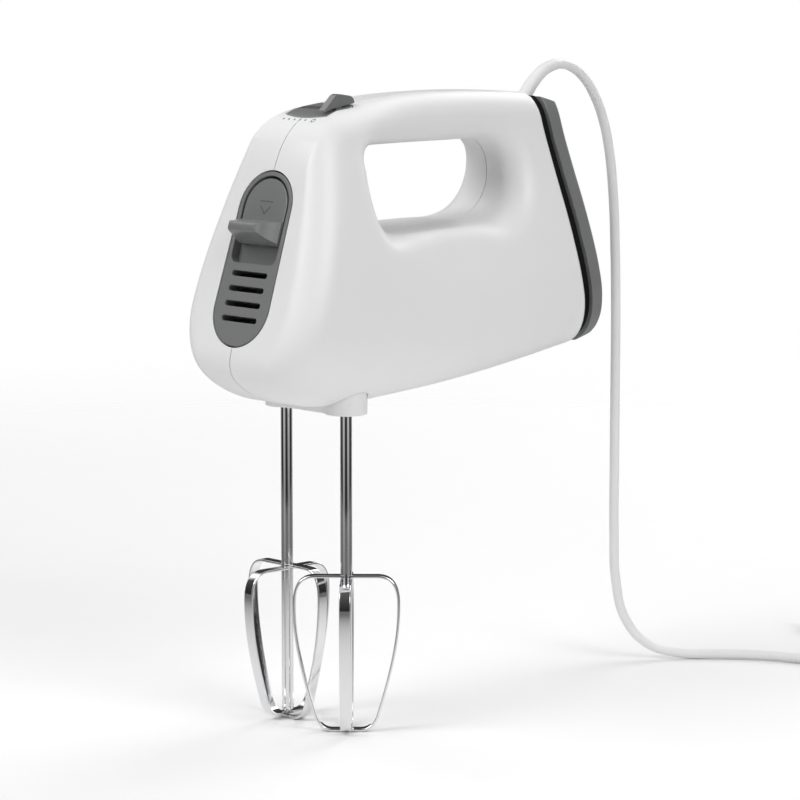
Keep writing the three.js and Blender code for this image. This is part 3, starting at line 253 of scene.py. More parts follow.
def join(pieces):
    """Several meshes as one object, under the first one's name."""
    points, faces = [], []
    for piece in pieces:
        start = len(points)
        points += [vertex.co.copy() for vertex in piece.data.vertices]
        faces += [[start + i for i in polygon.vertices] for polygon in piece.data.polygons]
    first = pieces[0]
    mesh = bpy.data.meshes.new(first.name)
    mesh.from_pydata(points, [], faces)
    first.data = mesh
    for piece in pieces[1:]:
        bpy.data.objects.remove(piece)
    return first


def inset(outline, distance):
    """An anticlockwise closed outline moved inwards."""
    points = np.array(outline, float)
    ahead, behind = np.roll(points, -1, 0), np.roll(points, 1, 0)
    run = ahead - behind
    run /= np.linalg.norm(run, axis=1)[:, None]
    return points + np.stack([-run[:, 1], run[:, 0]], 1) * distance


def tube_faces(rings, sides):
    """Faces that join rings of points into a tube, and close its two ends."""
    faces = []
    for ring in range(rings - 1):
        for side in range(sides):
            a, b = ring * sides + side, ring * sides + (side + 1) % sides
            faces.append((a, b, b + sides, a + sides))
    faces.append(tuple(reversed(range(sides))))
    faces.append(tuple((rings - 1) * sides + side for side in range(sides)))
    return faces


def stack(name, outline, levels, to_place):
    """A closed stack of an outline at (height, inset) levels."""
    points = []
    for height, shrink in levels:
        points += [to_place(x, y, height) for x, y in inset(outline, shrink)]
    return mesh_piece(name, points, tube_faces(len(levels), len(outline)))


def block(name, low, high, to_place):
    (x0, y0, z0), (x1, y1, z1) = low, high
    return stack(name, [(x0, y0), (x1, y0), (x1, y1), (x0, y1)], [(z0, 0), (z1, 0)], to_place)


def turned(name, profile, sides, to_place):
    """A lathed piece from (radius, height) pairs, which start and end on the axis or form a loop."""
    closed_section = profile[0] == profile[-1]
    rows = profile[:-1] if closed_section else profile[1:-1]
    points, faces = [], []
    for radius, height in rows:
        for side in range(sides):
            angle = 2 * math.pi * side / sides
            points.append(to_place(radius * math.cos(angle), radius * math.sin(angle), height))
    spans = len(rows) if closed_section else len(rows) - 1
    for row in range(spans):
        above = (row + 1) % len(rows)
        for side in range(sides):
            beside = (side + 1) % sides
            faces.append((row * sides + side, row * sides + beside,
                          above * sides + beside, above * sides + side))
    if not closed_section:
        for row, height in ((0, profile[0][1]), (len(rows) - 1, profile[-1][1])):
            points.append(to_place(0.0, 0.0, height))
            for side in range(sides):
                pair = (row * sides + side, row * sides + (side + 1) % sides)
                faces.append((*(pair if row else pair[::-1]), len(points) - 1))
    return mesh_piece(name, points, faces)


def upright(x, y, z):
    return (x, y, z)


def on_panel(x, v, h):
    """Nose panel: x across, v up the slope, h out of the nose."""
    return (x, PANEL_ORIGIN[0] + v * math.sin(NOSE_LEAN) - h * math.cos(NOSE_LEAN),
            PANEL_ORIGIN[1] + v * math.cos(NOSE_LEAN) + h * math.sin(NOSE_LEAN))


def on_rear(x, v, d):
    """Rear face: x across, v up the slope, d out of the rear."""
    return (x, REAR_HEAD[0] - v * math.sin(REAR_LEAN) + d * math.cos(REAR_LEAN),
            REAR_HEAD[1] + v * math.cos(REAR_LEAN) + d * math.sin(REAR_LEAN))


# ---- curves --------------------------------------------------------------------------------------
def bezier(points, count):
    """Points along a quadratic or cubic Bezier, without its start."""
    points = np.array(points, float)
    t = (np.arange(1, count + 1) / count)[:, None]
    if len(points) == 3:
        return (1 - t) ** 2 * points[0] + 2 * (1 - t) * t * points[1] + t ** 2 * points[2]
    return ((1 - t) ** 3 * points[0] + 3 * (1 - t) ** 2 * t * points[1]
            + 3 * (1 - t) * t ** 2 * points[2] + t ** 3 * points[3])


def chain(start, *pieces, fine=60):
    """An outline of Bezier and straight pieces, each given by its points after the last one's end."""
    outline = [np.array([start], float)]
    for piece in pieces:
        last = outline[-1][-1]
        if len(piece) == 1:
            t = (np.arange(1, fine + 1) / fine)[:, None]
            outline.append(last + t * (np.array(piece[0]) - last))
        else:
            outline.append(bezier([last, *piece], fine))
    return np.concatenate(outline)


def through(points, steps):
    """A smooth line from the second of some points to the last but one, through those between."""
    line = []
    for k in range(1, len(points) - 2):
        p0, p1, p2, p3 = points[k - 1:k + 3]
        for t in np.linspace(0, 1, steps, endpoint=False):
            line.append(0.5 * (2 * p1 + (p2 - p0) * t + (2 * p0 - 5 * p1 + 4 * p2 - p3) * t ** 2
                               + (3 * p1 - p0 - 3 * p2 + p3) * t ** 3))
    return line


def even(outline, count):
    """A closed outline resampled at even steps."""
    closed = np.vstack([outline, outline[:1]])
    run = np.concatenate([[0], np.cumsum(np.linalg.norm(np.diff(closed, axis=0), axis=1))])
    at = np.arange(count) * run[-1] / count
    return np.stack([np.interp(at, run, closed[:, k]) for k in range(2)], 1)


# ---- the housing surface -------------------------------------------------------------------------
NOSE_WIDTHS = ((195, HALF_WIDTH), (210, 40), (225, 37), (242, 32.6), (263, 25.5), (280, 20.5))
GRIP_WIDTHS = ((185, 40), (198, 37.4), (210, 33), (222, 28.6), (240, 21.5), (258, 17), (280, 16.5))
REAR_WIDTHS = ((197, 28.8), (219, 25.4), (241, 21), (266, 16.4), (280, 15.5))
NOSE_SECTION_Y, GRIP_SECTION_Y, REAR_SECTION_Y = -6, 52, 140


def smooth(t):
    t = np.clip(t, 0, 1)
    return t * t * (3 - 2 * t)


def graph(pairs, at):
    """A smooth curve through (position, value) pairs: a straight-line graph, averaged over 14 mm."""
    spots, values = zip(*pairs)
    shifts = np.linspace(-7, 7, 9)
    return sum(np.interp(at + shift, spots, values) for shift in shifts) / len(shifts)


def nose_line(z):
    return NOSE_FOOT[0] + (z - NOSE_FOOT[1]) * math.tan(NOSE_LEAN)


def rear_line(z):
    return REAR_HEAD[0] + (REAR_HEAD[1] - z) * math.tan(REAR_LEAN)


def top_line(y):
    return 281 - np.where(y < 68, 0.0011, 0.00076) * (y - 68) ** 2


def bottom_line(y):
    return 146.2 + np.where(y < 0, 1.2e-4 * np.abs(y) ** 3, 0.045 * y + 3.3e-4 * y ** 2)


def base_width(y, z):
    front, grip, rear = (graph(pairs, z) for pairs in (NOSE_WIDTHS, GRIP_WIDTHS, REAR_WIDTHS))
    ahead = front + (grip - front) * smooth((y - NOSE_SECTION_Y) / (GRIP_SECTION_Y - NOSE_SECTION_Y))
    share = np.clip((y - GRIP_SECTION_Y) / (REAR_SECTION_Y - GRIP_SECTION_Y), 0, 1) ** 1.3
    return np.where(y < GRIP_SECTION_Y, ahead, grip + (rear - grip) * share)


def rounded_edge(distance, length, ratio):
    share = np.clip(distance / length, 0, 1)
    return ratio + (1 - ratio) * np.sqrt(1 - (1 - share) ** 2)


HOLE = {"low": 220.6, "high": 259.2, "front": 9.2, "rear": 107.2}
HOLE_MIDDLE = np.array([56.0, 240.0])


def hole_outline():
    low, high, front, rear = HOLE["low"], HOLE["high"], HOLE["front"], HOLE["rear"]
    return chain(
        (28, low), ((84, low + 1),),
        ((97, low + 1.6), (rear, 230), (rear, 242)),
        ((rear, 252), (102, high - 0.4), (92, high - 0.3)),
        ((24, high),),
        ((15, high), (front, 255), (front, 245)),
        ((front, 229), (13, low), (28, low)))[:-1]


def side_outline():
    foot, brow = NOSE_FOOT, (nose_line(249.8), 249.8)
    return chain(
        (148.2, 160),
        ((110, 155.4), (60, 148.6), (-4, 146.2)),
        ((-24, 145.6), (-38, 151), (-47.2, 159.4)),
        ((-52.6, 164.4), foot),
        (brow,),
        ((-18.6, 267), (-9, 273.9), (6, 276.6)),
        ((22, 280), (42, 281), (68, 281)),
        ((88, 281), (106, 279.9), (122.6, 278.7)),
        ((124.7, 278.4), (rear_line(276.2), 276.2)),
        ((rear_line(163), 163),),
        ((rear_line(160.2), 160.6), (148.2, 160)))[:-1]


HOLE_OUTLINE = even(hole_outline(), 240)
BROW_LINE = chain((nose_line(249.8), 249.8), ((-18.6, 267), (-9, 273.9), (6, 276.6)), fine=24)


def distance_to(starts, ends, y, z):
    """Distance from points of the side view to the nearest of some straight pieces."""
    dy, dz = (ends - starts).T
    across, up = y[..., None] - starts[:, 0], z[..., None] - starts[:, 1]
    t = np.clip((across * dy + up * dz) / (dy * dy + dz * dz), 0, 1)
    return np.hypot(across - t * dy, up - t * dz).min(-1)


def half_width(y, z, thinner=0.0):
    """Half-width of the housing over a point of its side view, or of its hollow."""
    y, z = np.asarray(y, float), np.asarray(z, float)
    brow = distance_to(BROW_LINE[:-1], BROW_LINE[1:], y, z) + 15 * smooth((y + 24) / 30)
    nose = np.minimum((y - nose_line(z)) * math.cos(NOSE_LEAN), brow) - thinner
    rear = (rear_line(z) - y) * math.cos(REAR_LEAN) - thinner
    top = top_line(y) - z - thinner
    bottom = z - bottom_line(y) - thinner
    forward = smooth((70 - y) / 90)
    width = base_width(y, z) - thinner
    width *= rounded_edge(nose, 15, 0.66)
    width *= rounded_edge(rear, 2.5, 0.94)
    width *= rounded_edge(top, 12, 0.33 + 0.13 * forward)
    width *= rounded_edge(bottom, 28 + 10 * forward, 0.3)
    reach = distance_to(HOLE_OUTLINE, np.roll(HOLE_OUTLINE, -1, 0), y, z) - thinner
    soft = np.maximum(smooth((z - 238) / 22), smooth((y - 70) / 40))
    soft = np.maximum(soft, 0.5 * smooth((40 - y) / 30))
    width *= rounded_edge(reach, 8 + 5 * soft, 0.84 - 0.42 * soft)
    return width


def rim_point(ray):
    """Where a ray from the middle of the handle hole meets its rim."""
    a = HOLE_OUTLINE - HOLE_MIDDLE
    step = np.roll(a, -1, 0) - a
    scale = ray[0] * step[:, 1] - ray[1] * step[:, 0]
    t = (a[:, 0] * step[:, 1] - a[:, 1] * step[:, 0]) / scale
    s = (a[:, 0] * ray[1] - a[:, 1] * ray[0]) / scale
    hit = np.where((t > 0) & (s >= -1e-9) & (s <= 1 + 1e-9))[0]
    return HOLE_MIDDLE + ray * t[hit[0]]


def shell_half(name, sign, around=320, across=40, inner_across=10):
    """One hollow half of the housing: the outer surface, its edge, the hollow's surface and the rim."""
    outer = even(side_outline(), around)
    run = np.roll(outer, -1, 0) - np.roll(outer, 1, 0)
    run /= np.linalg.norm(run, axis=1)[:, None]
    inward = np.stack([-run[:, 1], run[:, 0]], 1)
    if np.dot(inward[0], HOLE_MIDDLE - outer[0]) < 0:
        inward = -inward
    rays = outer - HOLE_MIDDLE
    rims = np.array([rim_point(ray) for ray in rays])
    rays /= np.linalg.norm(rays, axis=1)[:, None]
    columns = []

    def surface(rim, edge, steps, thinner):
        share = (1 - np.cos(np.pi * np.arange(steps + 1) / steps)) / 2
        rows = []
        for t in share:
            spot = rim + (edge - rim) * t
            width = np.maximum(half_width(spot[:, 0], spot[:, 1], thinner), 1.0)
            rows.append(np.column_stack([width, spot]))
        return rows

    def flat(line):
        return np.column_stack([np.full(len(line), SEAM), line])

    inner_edge, inner_rim = outer + inward * WALL, rims + rays * WALL
    columns += surface(rims, outer, across, 0.0)
    columns += [flat(outer), flat(inner_edge)]
    columns += surface(inner_rim, inner_edge, inner_across, WALL)[::-1]
    columns += [flat(inner_rim), flat(rims)]
    grid = np.array(columns)
    grid[:, :, 0] *= sign
    levels = len(grid)
    points = grid.reshape(-1, 3)
    faces = []
    for level in range(levels):
        above = (level + 1) % levels
        for i in range(around):
            beside = (i + 1) % around
            face = (level * around + i, level * around + beside,
                    above * around + beside, above * around + i)
            faces.append(face if sign > 0 else face[::-1])
    return mesh_piece(name, points, faces)


TOP_FROM, TOP_REAR = 262.0, 124       # where the upper surface starts, in height and at the rear


def surface_height(x, y):
    """Heights of the housing's upper surface over (x, y) points, found by bisection."""
    x, y = np.abs(np.asarray(x, float)), np.asarray(y, float)
    outline = side_outline()
    upper = outline[(outline[:, 1] > TOP_FROM) & (outline[:, 0] < TOP_REAR)]
    upper = upper[np.argsort(upper[:, 0])]
    high = np.interp(y, upper[:, 0], upper[:, 1])
    low = np.full(y.shape, TOP_FROM)
    for _ in range(24):
        middle = (low + high) / 2
        inside = half_width(y, middle) >= x
        low, high = np.where(inside, middle, low), np.where(inside, high, middle)
    return low


# ---- camera, then the lead -----------------------------------------------------------------------
CAMERA = {"azimuth": 46, "elevation": 8.2, "distance": 1596.7, "target": (0, 51.84, 141.53),
          "sensor": 36, "lens": 158.31}


def add_camera():
    """Looks at the target from ahead of the nose and to the left, a little from above."""
    camera = bpy.data.objects.new("camera", bpy.data.cameras.new("camera"))
    bpy.context.scene.collection.objects.link(camera)
    azimuth, elevation = math.radians(CAMERA["azimuth"]), math.radians(CAMERA["elevation"])
    target = Vector(place(CAMERA["target"]))
    away = Vector((math.sin(azimuth) * math.cos(elevation), -math.cos(azimuth) * math.cos(elevation),
                   math.sin(elevation)))
    camera.location = target + away * CAMERA["distance"] * MM
    camera.rotation_euler = (-away).to_track_quat("-Z", "Y").to_euler()
    camera.data.sensor_width = CAMERA["sensor"]
    camera.data.lens = CAMERA["lens"]
    camera.data.clip_end = 20
    bpy.context.scene.camera = camera


add_camera()

ON_FLOOR = CORD_RADIUS + 0.2
ROUTE = [
    (0, 121, 262), (0, 126.6, 269.1), (0, 132.2, 276.2), (0, 138.2, 282.8), (0, 146, 288.2),
    (0, 155.4, 290.2), (0, 164.6, 288.2), (0, 172.6, 283), (0, 179.4, 275.2), (0, 185.4, 264.4),
    (0, 190, 250), (0.2, 193.2, 228), (0.6, 194.6, 200), (1, 195, 165), (1, 195, 130), (1, 195, 95),
    (1, 195.2, 62), (1.8, 196, 38), (5, 199.6, 19.6), (12.4, 207.2, 7.6), (23, 218, ON_FLOOR + 0.5),
    (37, 232, ON_FLOOR), (52, 244, ON_FLOOR), (68, 251.4, ON_FLOOR), (85.8, 254.8, ON_FLOOR),
]
COIL = {"x": 102, "y": 286, "inner": 24.9, "outer": 29.5, "low": 3.3, "high": 7.9}
COIL_START, COIL_END = math.radians(-83), math.radians(82 + 3 * 360)
COIL_POINTS = 18                 # points in each turn
PLUG = {"boot": 20, "body": 32, "face": 68, "pins": 87, "half": 17.6, "high": 13.7}


def coil_route():
    """Three and a half turns: outer and inner below, then inner and outer on top of them."""
    route = []
    count = round(COIL_POINTS * (COIL_END - COIL_START) / (2 * math.pi))
    for i in range(count + 1):
        angle = COIL_START + (COIL_END - COIL_START) * i / count
        turns = (angle - COIL_START) / (2 * math.pi)
        narrow = float(smooth((turns - 0.85) / 0.2) - smooth((turns - 2.85) / 0.2))
        raised = float(smooth((turns - 1.85) / 0.2))
        radius = COIL["outer"] + (COIL["inner"] - COIL["outer"]) * narrow
        route.append((COIL["x"] + radius * math.cos(angle), COIL["y"] + radius * math.sin(angle),
                      COIL["low"] + (COIL["high"] - COIL["low"]) * raised))
    return route


def beside_coil(x, y, z):
    """Plug frame: x along the lead as it leaves the coil."""
    along = (-math.sin(COIL_END), math.cos(COIL_END))
    start = (COIL["x"] + COIL["outer"] * math.cos(COIL_END),
             COIL["y"] + COIL["outer"] * math.sin(COIL_END))
    return (start[0] + along[0] * x - along[1] * y, start[1] + along[1] * x + along[0] * y, z)


PLUG_MIDDLE = PLUG["high"] / 2 + 0.2


def lead_curve():
    tail = [beside_coil(8, 0, 7.7), beside_coil(16, 0, 7.2), beside_coil(PLUG["boot"] + 4, 0, PLUG_MIDDLE)]
    route = ROUTE + coil_route() + tail
    curve = bpy.data.curves.new("lead", "CURVE")
    curve.dimensions = "3D"
    curve.bevel_depth = CORD_RADIUS * MM
    curve.bevel_resolution = 6
    curve.resolution_u = 8
    curve.use_fill_caps = True
    spline = curve.splines.new("BEZIER")
    spline.bezier_points.add(len(route) - 1)
    for knot, point in zip(spline.bezier_points, route):
        knot.co = place(point)
        knot.handle_left_type = knot.handle_right_type = "AUTO"
    lead = bpy.data.objects.new("lead", curve)
    bpy.context.scene.collection.objects.link(lead)
    curve.materials.append(MATERIALS["white_cord"])
    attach(lead, "housing")
    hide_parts("mains_lead", "lead_coil")
    return lead


def spline_samples(points, count):
    """A smooth line through points, resampled at even steps."""
    points = np.array(points, float)
    padded = np.vstack([2 * points[0] - points[1], points, 2 * points[-1] - points[-2]])
    line = np.array(through(padded, 12) + [points[-1]])
    run = np.concatenate([[0], np.cumsum(np.linalg.norm(np.diff(line, axis=0), axis=1))])
    at = np.linspace(0, run[-1], count)
    return np.stack([np.interp(at, run, line[:, k]) for k in range(3)], 1), run[-1]


SLEEVE = {"length": 44, "step": 19, "inside": 20, "thick": 3.3, "root": 3.15, "taper": 0.55}


def strain_relief():
    """The tapered sleeve that the lead leaves through, in the lead's own vertical plane."""
    line, length = spline_samples(ROUTE[:8], 240)
    run = np.linspace(0, length, len(line))
    keep = run <= SLEEVE["length"]
    line, run = line[keep], run[keep]
    points, sides = [], 28
    for k, (centre, at) in enumerate(zip(line, run)):
        along = line[min(k + 1, len(line) - 1)] - line[max(k - 1, 0)]
        along /= np.linalg.norm(along)
        across = np.array([1.0, 0, 0])
        up = np.cross(along, across)
        outside = max(at - SLEEVE["inside"], 0) / (SLEEVE["length"] - SLEEVE["inside"])
        radius = SLEEVE["thick"] if at < SLEEVE["step"] else SLEEVE["root"] - SLEEVE["taper"] * outside
        for side in range(sides):
            angle = 2 * math.pi * side / sides
            points.append(centre + radius * (math.cos(angle) * across + math.sin(angle) * up))
    relief = mesh_piece("lead_sleeve", points, tube_faces(len(line), sides))
    return finished(relief, "housing", "white_plastic", ["strain_relief"], angle=50)


def plug_piece():
    """A flat two-pin plug: a moulded body with a waist and a ribbed boot."""
    half, body, face = PLUG["half"], PLUG["body"], PLUG["face"]
    plan = chain(
        (body, -6), ((body + 1, -9), (body + 6, -11.5)), ((face - 16, -half), (face - 10, -half)),
        ((face, -half),), ((face, half),), ((face - 10, half),),
        ((face - 16, half), (body + 6, 11.5)), ((body + 1, 9), (body, 6)), ((body, -6),), fine=10)[:-1]
    high = PLUG["high"]
    shell = stack("plug_body", plan, [(0.2, 2.4), (1.0, 1.0), (2.6, 0), (high - 2.2, 0),
                                      (high - 0.6, 1.0), (high + 0.2, 2.4)], beside_coil)
    profile = [(0, PLUG["boot"])]
    for k in range(5):
        at = PLUG["boot"] + 2.6 * k
        radius = 3.0 + 0.45 * k
        profile += [(radius, at), (radius, at + 1.7), (radius - 0.5, at + 1.8), (radius - 0.5, at + 2.5)]
    profile += [(5, body + 1), (5, body + 4), (0, body + 4)]
    boot = turned("plug_boot", profile, 28,
                  lambda x, y, z: beside_coil(z, x, y + PLUG_MIDDLE))
    plug = join([shell, boot])
    return finished(plug, "housing", "white_cord", ["mains_plug"], angle=40)


LEAD = lead_curve()
RELIEF = strain_relief()
PLUG_BODY = plug_piece()


# ---- outlines ------------------------------------------------------------------------------------
def round_ended(low, low_radius, high, high_radius, steps=40):
    """Half circles of two radii joined by straight sides, anticlockwise."""
    turn = np.pi * np.arange(steps + 1) / steps
    foot = np.column_stack([low_radius * np.cos(np.pi + turn), low + low_radius * np.sin(np.pi + turn)])
    head = np.column_stack([high_radius * np.cos(turn), high + high_radius * np.sin(turn)])
    return np.vstack([foot, head])


def round_headed(half, foot, corner, high, steps=40):
    """A straight foot with rounded corners and a round head, anticlockwise."""
    points = []
    for side, start in ((-1, math.pi), (1, 1.5 * math.pi)):
        for i in range(9):
            angle = start + math.pi * i / 16
            points.append((side * (half - corner) + corner * math.cos(angle),
                           foot + corner + corner * math.sin(angle)))
    for i in range(steps + 1):
        angle = math.pi * i / steps
        points.append((half * math.cos(angle), high + half * math.sin(angle)))
    return np.array(points)


def plate_plan(grow):
    """Plan of the speed plate: a bowed front edge and rounded rear corners."""
    half, rear, turn = PLATE["half"] + grow, PLATE["rear"] + grow, PLATE["round"]
    corner, bow = PLATE["corner"] - grow, 2 * PLATE["front"] - PLATE["corner"] - grow
    return chain(
        (-half, corner), ((0, bow), (half, corner)), ((half, rear - turn),),
        ((half, rear), (half - turn, rear)), ((-half + turn, rear),),
        ((-half, rear), (-half, rear - turn)), ((-half, corner),), fine=14)[:-1]


def plinth_plan(grow, steps=24):
    """Two bosses joined by a web, anticlockwise."""
    boss, web = 9.4 + grow, 6.4 + grow
    meet = math.asin(web / boss)
    points = []
    for centre, start in ((SPINDLE_X, -math.pi + meet), (-SPINDLE_X, meet)):
        for i in range(steps + 1):
            angle = start + (2 * math.pi - 2 * meet) * i / steps
            points.append((centre + boss * math.cos(angle), boss * math.sin(angle)))
    return points


PANEL_OUTLINE = round_ended(PANEL["low"], PANEL["low_radius"], PANEL["high"], PANEL["high_radius"])
WINDOW_OUTLINE = round_headed(WINDOW["half"], WINDOW["foot"], WINDOW["corner"], WINDOW["high"])
SCREWS = ((18, 269.6), (113, 262), (-29, 163.5), (120, 171))
SCREW_HOLE, SCREW_SEAT, SCREW_HEAD = 2.9, -9.0, 2.6


def screw_frame(y, z):
    """Frame of a closing screw: x and y of the profile in the side view, height along x."""
    return lambda a, b, h: (h, y + a, z + b)


# ---- housing halves ------------------------------------------------------------------------------
LEAD_ROOT, LEAD_TILT, LEAD_HOLE = (121, 262), math.radians(51.7), 3.9


def lead_way(a, b, h):
    """Frame of the lead's hole: h along the lead as it leaves."""
    along = (math.cos(LEAD_TILT), math.sin(LEAD_TILT))
    return (a, LEAD_ROOT[0] + along[0] * h - along[1] * b, LEAD_ROOT[1] + along[1] * h + along[0] * b)


def lead_hole():
    return turned("lead_hole", [(0, 2), (LEAD_HOLE, 2), (LEAD_HOLE, 40), (0, 40)], 40, lead_way)


def openings():
    return [
        stack("panel_opening", inset(PANEL_OUTLINE, -0.35), [(-9, 0), (6, 0)], on_panel),
        stack("plate_opening", plate_plan(0.35), [(265, 0), (292, 0)], upright),
        stack("plinth_opening", plinth_plan(0.35), [(140, 0), (158, 0)], upright),
        lead_hole(),
    ]


def housing(side, sign):
    shell = shell_half(f"shell_{side}", sign)
    cutters = openings()
    if sign < 0:
        cutters += [turned(f"seat_{i}", [(0, -50), (SCREW_HOLE, -50), (SCREW_HOLE, -5), (0, -5)], 24,
                           screw_frame(y, z)) for i, (y, z) in enumerate(SCREWS)]
    cut(shell, cutters)
    finished(shell, "housing", "white_plastic", [f"housing_{side}"], angle=28)
    if sign < 0:
        for i, (y, z) in enumerate(SCREWS):
            wall = [(SCREW_HOLE, SCREW_SEAT), (SCREW_HOLE + 1.4, SCREW_SEAT),
                    (SCREW_HOLE + 1.4, SCREW_SEAT - 4), (SCREW_HOLE, SCREW_SEAT - 4),
                    (SCREW_HOLE, SCREW_SEAT)]
            finished(turned(f"screw_well_{i + 1}", wall, 28, screw_frame(y, z)), "housing", "white_plastic")


for side, sign in (("left", 1), ("right", -1)):
    housing(side, sign)


def screw_head(name, node, to_place, seat, outward):
    """A pan head with a cross recess on a plain shank."""
    crown = seat + outward * 2.2
    profile = [(0, crown), (1.4, crown), (2.2, crown - outward * 0.35), (SCREW_HEAD, crown - outward),
               (SCREW_HEAD, seat + outward * 0.3), (1.3, seat + outward * 0.3),
               (1.3, seat - outward * 14), (0, seat - outward * 15)]
    head = turned(name, profile, 28, to_place)
    low, high = sorted((crown - outward * 1.2, crown + outward))
    cut(head, [block("arm", (-1.7, -0.35, low), (1.7, 0.35, high), to_place),
               block("arm", (-0.35, -1.7, low), (0.35, 1.7, high), to_place)])
    return finished(head, "housing", "zinc_screws", [node])


for i, (y, z) in enumerate(SCREWS):
    screw_head(f"closing_screw_{i + 1}", f"housing_screw_{i + 1}", screw_frame(y, z), SCREW_SEAT, -1)


# ---- nose panel and eject slider -----------------------------------------------------------------
def front_panel():
    panel = stack("vent_panel", PANEL_OUTLINE,
                  [(-5.6, 0.3), (0.05, 0.3), (0.32, 0.4), (0.5, 0.7)], on_panel)
    cutters = [
        stack("window", WINDOW_OUTLINE, [(-4, 0), (3, 0)], on_panel),
        block("arm_slot", (-4.4, 15, -9), (4.4, 37, 0), on_panel),
    ]
    radius = SLOTS["high"] / 2
    reach = SLOTS["half"] - radius
    slot = round_ended(0, radius, 2 * reach, radius, 12)
    for i in range(SLOTS["count"]):
        middle = SLOTS["first"] - i * SLOTS["pitch"]
        turned_slot = [(y - reach, middle - x) for x, y in slot]
        cutters.append(stack(f"vent_{i}", turned_slot, [(-9, 0), (3, 0)], on_panel))
    cut(panel, cutters)
    soften(panel, 0.22, 2)
    return finished(panel, "housing", "grey_plastic", ["front_panel"], angle=40, flat=True)


def across_panel(x, v, h):
    """Profile frame of the thumb tab: x is out of the nose, v up the slope, h across."""
    return on_panel(h, v, x)


def up_panel(x, h, v):
    """Plan frame of the thumb tab."""
    return on_panel(x, v, h)


ARM = {"half": 3, "outer": -30, "inner": -12, "low": 226.5, "high": 230.5}


def eject_button():
    """The slider's plate, its thumb tab, and the arm that reaches the yoke."""
    plate = stack("slider_plate", round_headed(WINDOW["half"] - 1.1, 14, 1, WINDOW["high"]),
                  [(-3.7, 0), (-0.15, 0), (0.15, 0.15), (0.3, 0.5)], on_panel)
    profile = chain(
        (-1, 14.3), ((4.6, 15.4), (9.4, 16.9)), ((12, 17.8), (11.6, 20)), ((11.2, 21.2), (9.8, 21.4)),
        ((1.2, 24.2),), ((-1, 24.6),), ((-1, 14.3),), fine=14)[:-1]
    plan = chain(
        (-13.2, -2), ((13.2, -2),), ((13.2, 1),), ((10.6, 4.6), (9.9, 8)), ((9.2, 12.6), (5, 12.8)),
        ((-5, 12.8),), ((-9.2, 12.6), (-9.9, 8)), ((-10.6, 4.6), (-13.2, 1)), ((-13.2, -2),),
        fine=16)[:-1]
    tab = stack("tab", profile, [(-14, 0), (14, 0)], across_panel)
    cut(tab, [stack("tab_plan", plan, [(10, 0), (30, 0)], up_panel)], "INTERSECT")
    soften(tab, 0.6, 3, 40)
    arm = block("arm", (-ARM["half"], ARM["outer"], ARM["low"]), (ARM["half"], ARM["inner"], ARM["high"]),
                upright)
    return finished(join([plate, tab, arm]), "eject_button", "grey_plastic", ["eject_slider"], angle=40,
                    flat=True)


def eject_marks():
    """A bar over an open arrow, moulded in the slider's face."""
    line = 0.32
    strokes = []
    lines = (((-3.8, 33), (3.8, 33)), ((-2.9, 30.6), (0, 27.6)), ((0, 27.6), (2.9, 30.6)))
    for i, ends in enumerate(lines):
        a, b = np.array(ends, float)
        run = (b - a) / np.linalg.norm(b - a)
        side = np.array([-run[1], run[0]]) * line
        outline = [a - run * line - side, b + run * line - side,
                   b + run * line + side, a - run * line + side]
        strokes.append(stack(f"eject_mark_{i + 1}", outline, [(0.1, 0), (0.36, 0)], on_panel))
    finished(join(strokes), "eject_button", "grey_plastic", material=LABEL)


front_panel()
eject_button()
eject_marks()


# ---- speed plate, lever and marks ----------------------------------------------------------------
def speed_plate():
    """A plate flush with the housing's crowned top, with the lever's slot through it."""
    rows, columns = 44, 40
    outline = plate_plan(0)
    front = outline[(outline[:, 1] < 0)]
    front = front[np.argsort(front[:, 0])]
    x = PLATE["half"] * np.linspace(-1, 1, rows + 1)
    near = np.interp(x, front[:, 0], front[:, 1])
    spare = np.maximum(np.abs(x) - PLATE["half"] + PLATE["round"], 0)
    far = PLATE["rear"] - PLATE["round"] + np.sqrt(np.maximum(PLATE["round"] ** 2 - spare ** 2, 0))
    share = np.linspace(0, 1, columns + 1)
    y = near[:, None] + (far - near)[:, None] * share
    x = np.repeat(x[:, None], columns + 1, 1)
    top = surface_height(x, y) - 0.05
    under = top - 2.2
    top[[0, -1]] -= 0.22
    top[1:-1, [0, -1]] -= 0.22
    points = [point for z in (top, under)
              for point in np.stack([x, y, z], -1).reshape(-1, 3)]
    faces = []
    width = columns + 1
    lower = (rows + 1) * width
    for i in range(rows):
        for j in range(columns):
            a = i * width + j
            faces.append((a, a + width, a + width + 1, a + 1))
            faces.append((lower + a, lower + a + 1, lower + a + width + 1, lower + a + width))
    border = ([(0, j) for j in range(columns)] + [(i, columns) for i in range(rows)]
              + [(rows, j) for j in range(columns, 0, -1)] + [(i, 0) for i in range(rows, 0, -1)])
    for (i, j), (k, m) in zip(border, border[1:] + border[:1]):
        a, b = i * width + j, k * width + m
        faces.append((a, b, lower + b, lower + a))
    plate = mesh_piece("speed_scale", points, faces)
    radius, middle = 2.0, 3.4
    reach = LEVER_X + radius
    slot = round_ended(0, radius, 2 * reach - 2 * radius, radius, 10)[:, ::-1] + (-reach + radius, middle)
    cut(plate, [stack("slot", slot, [(260, 0), (290, 0)], upright)])
    return finished(plate, "housing", "grey_plastic", ["speed_plate"], angle=35)


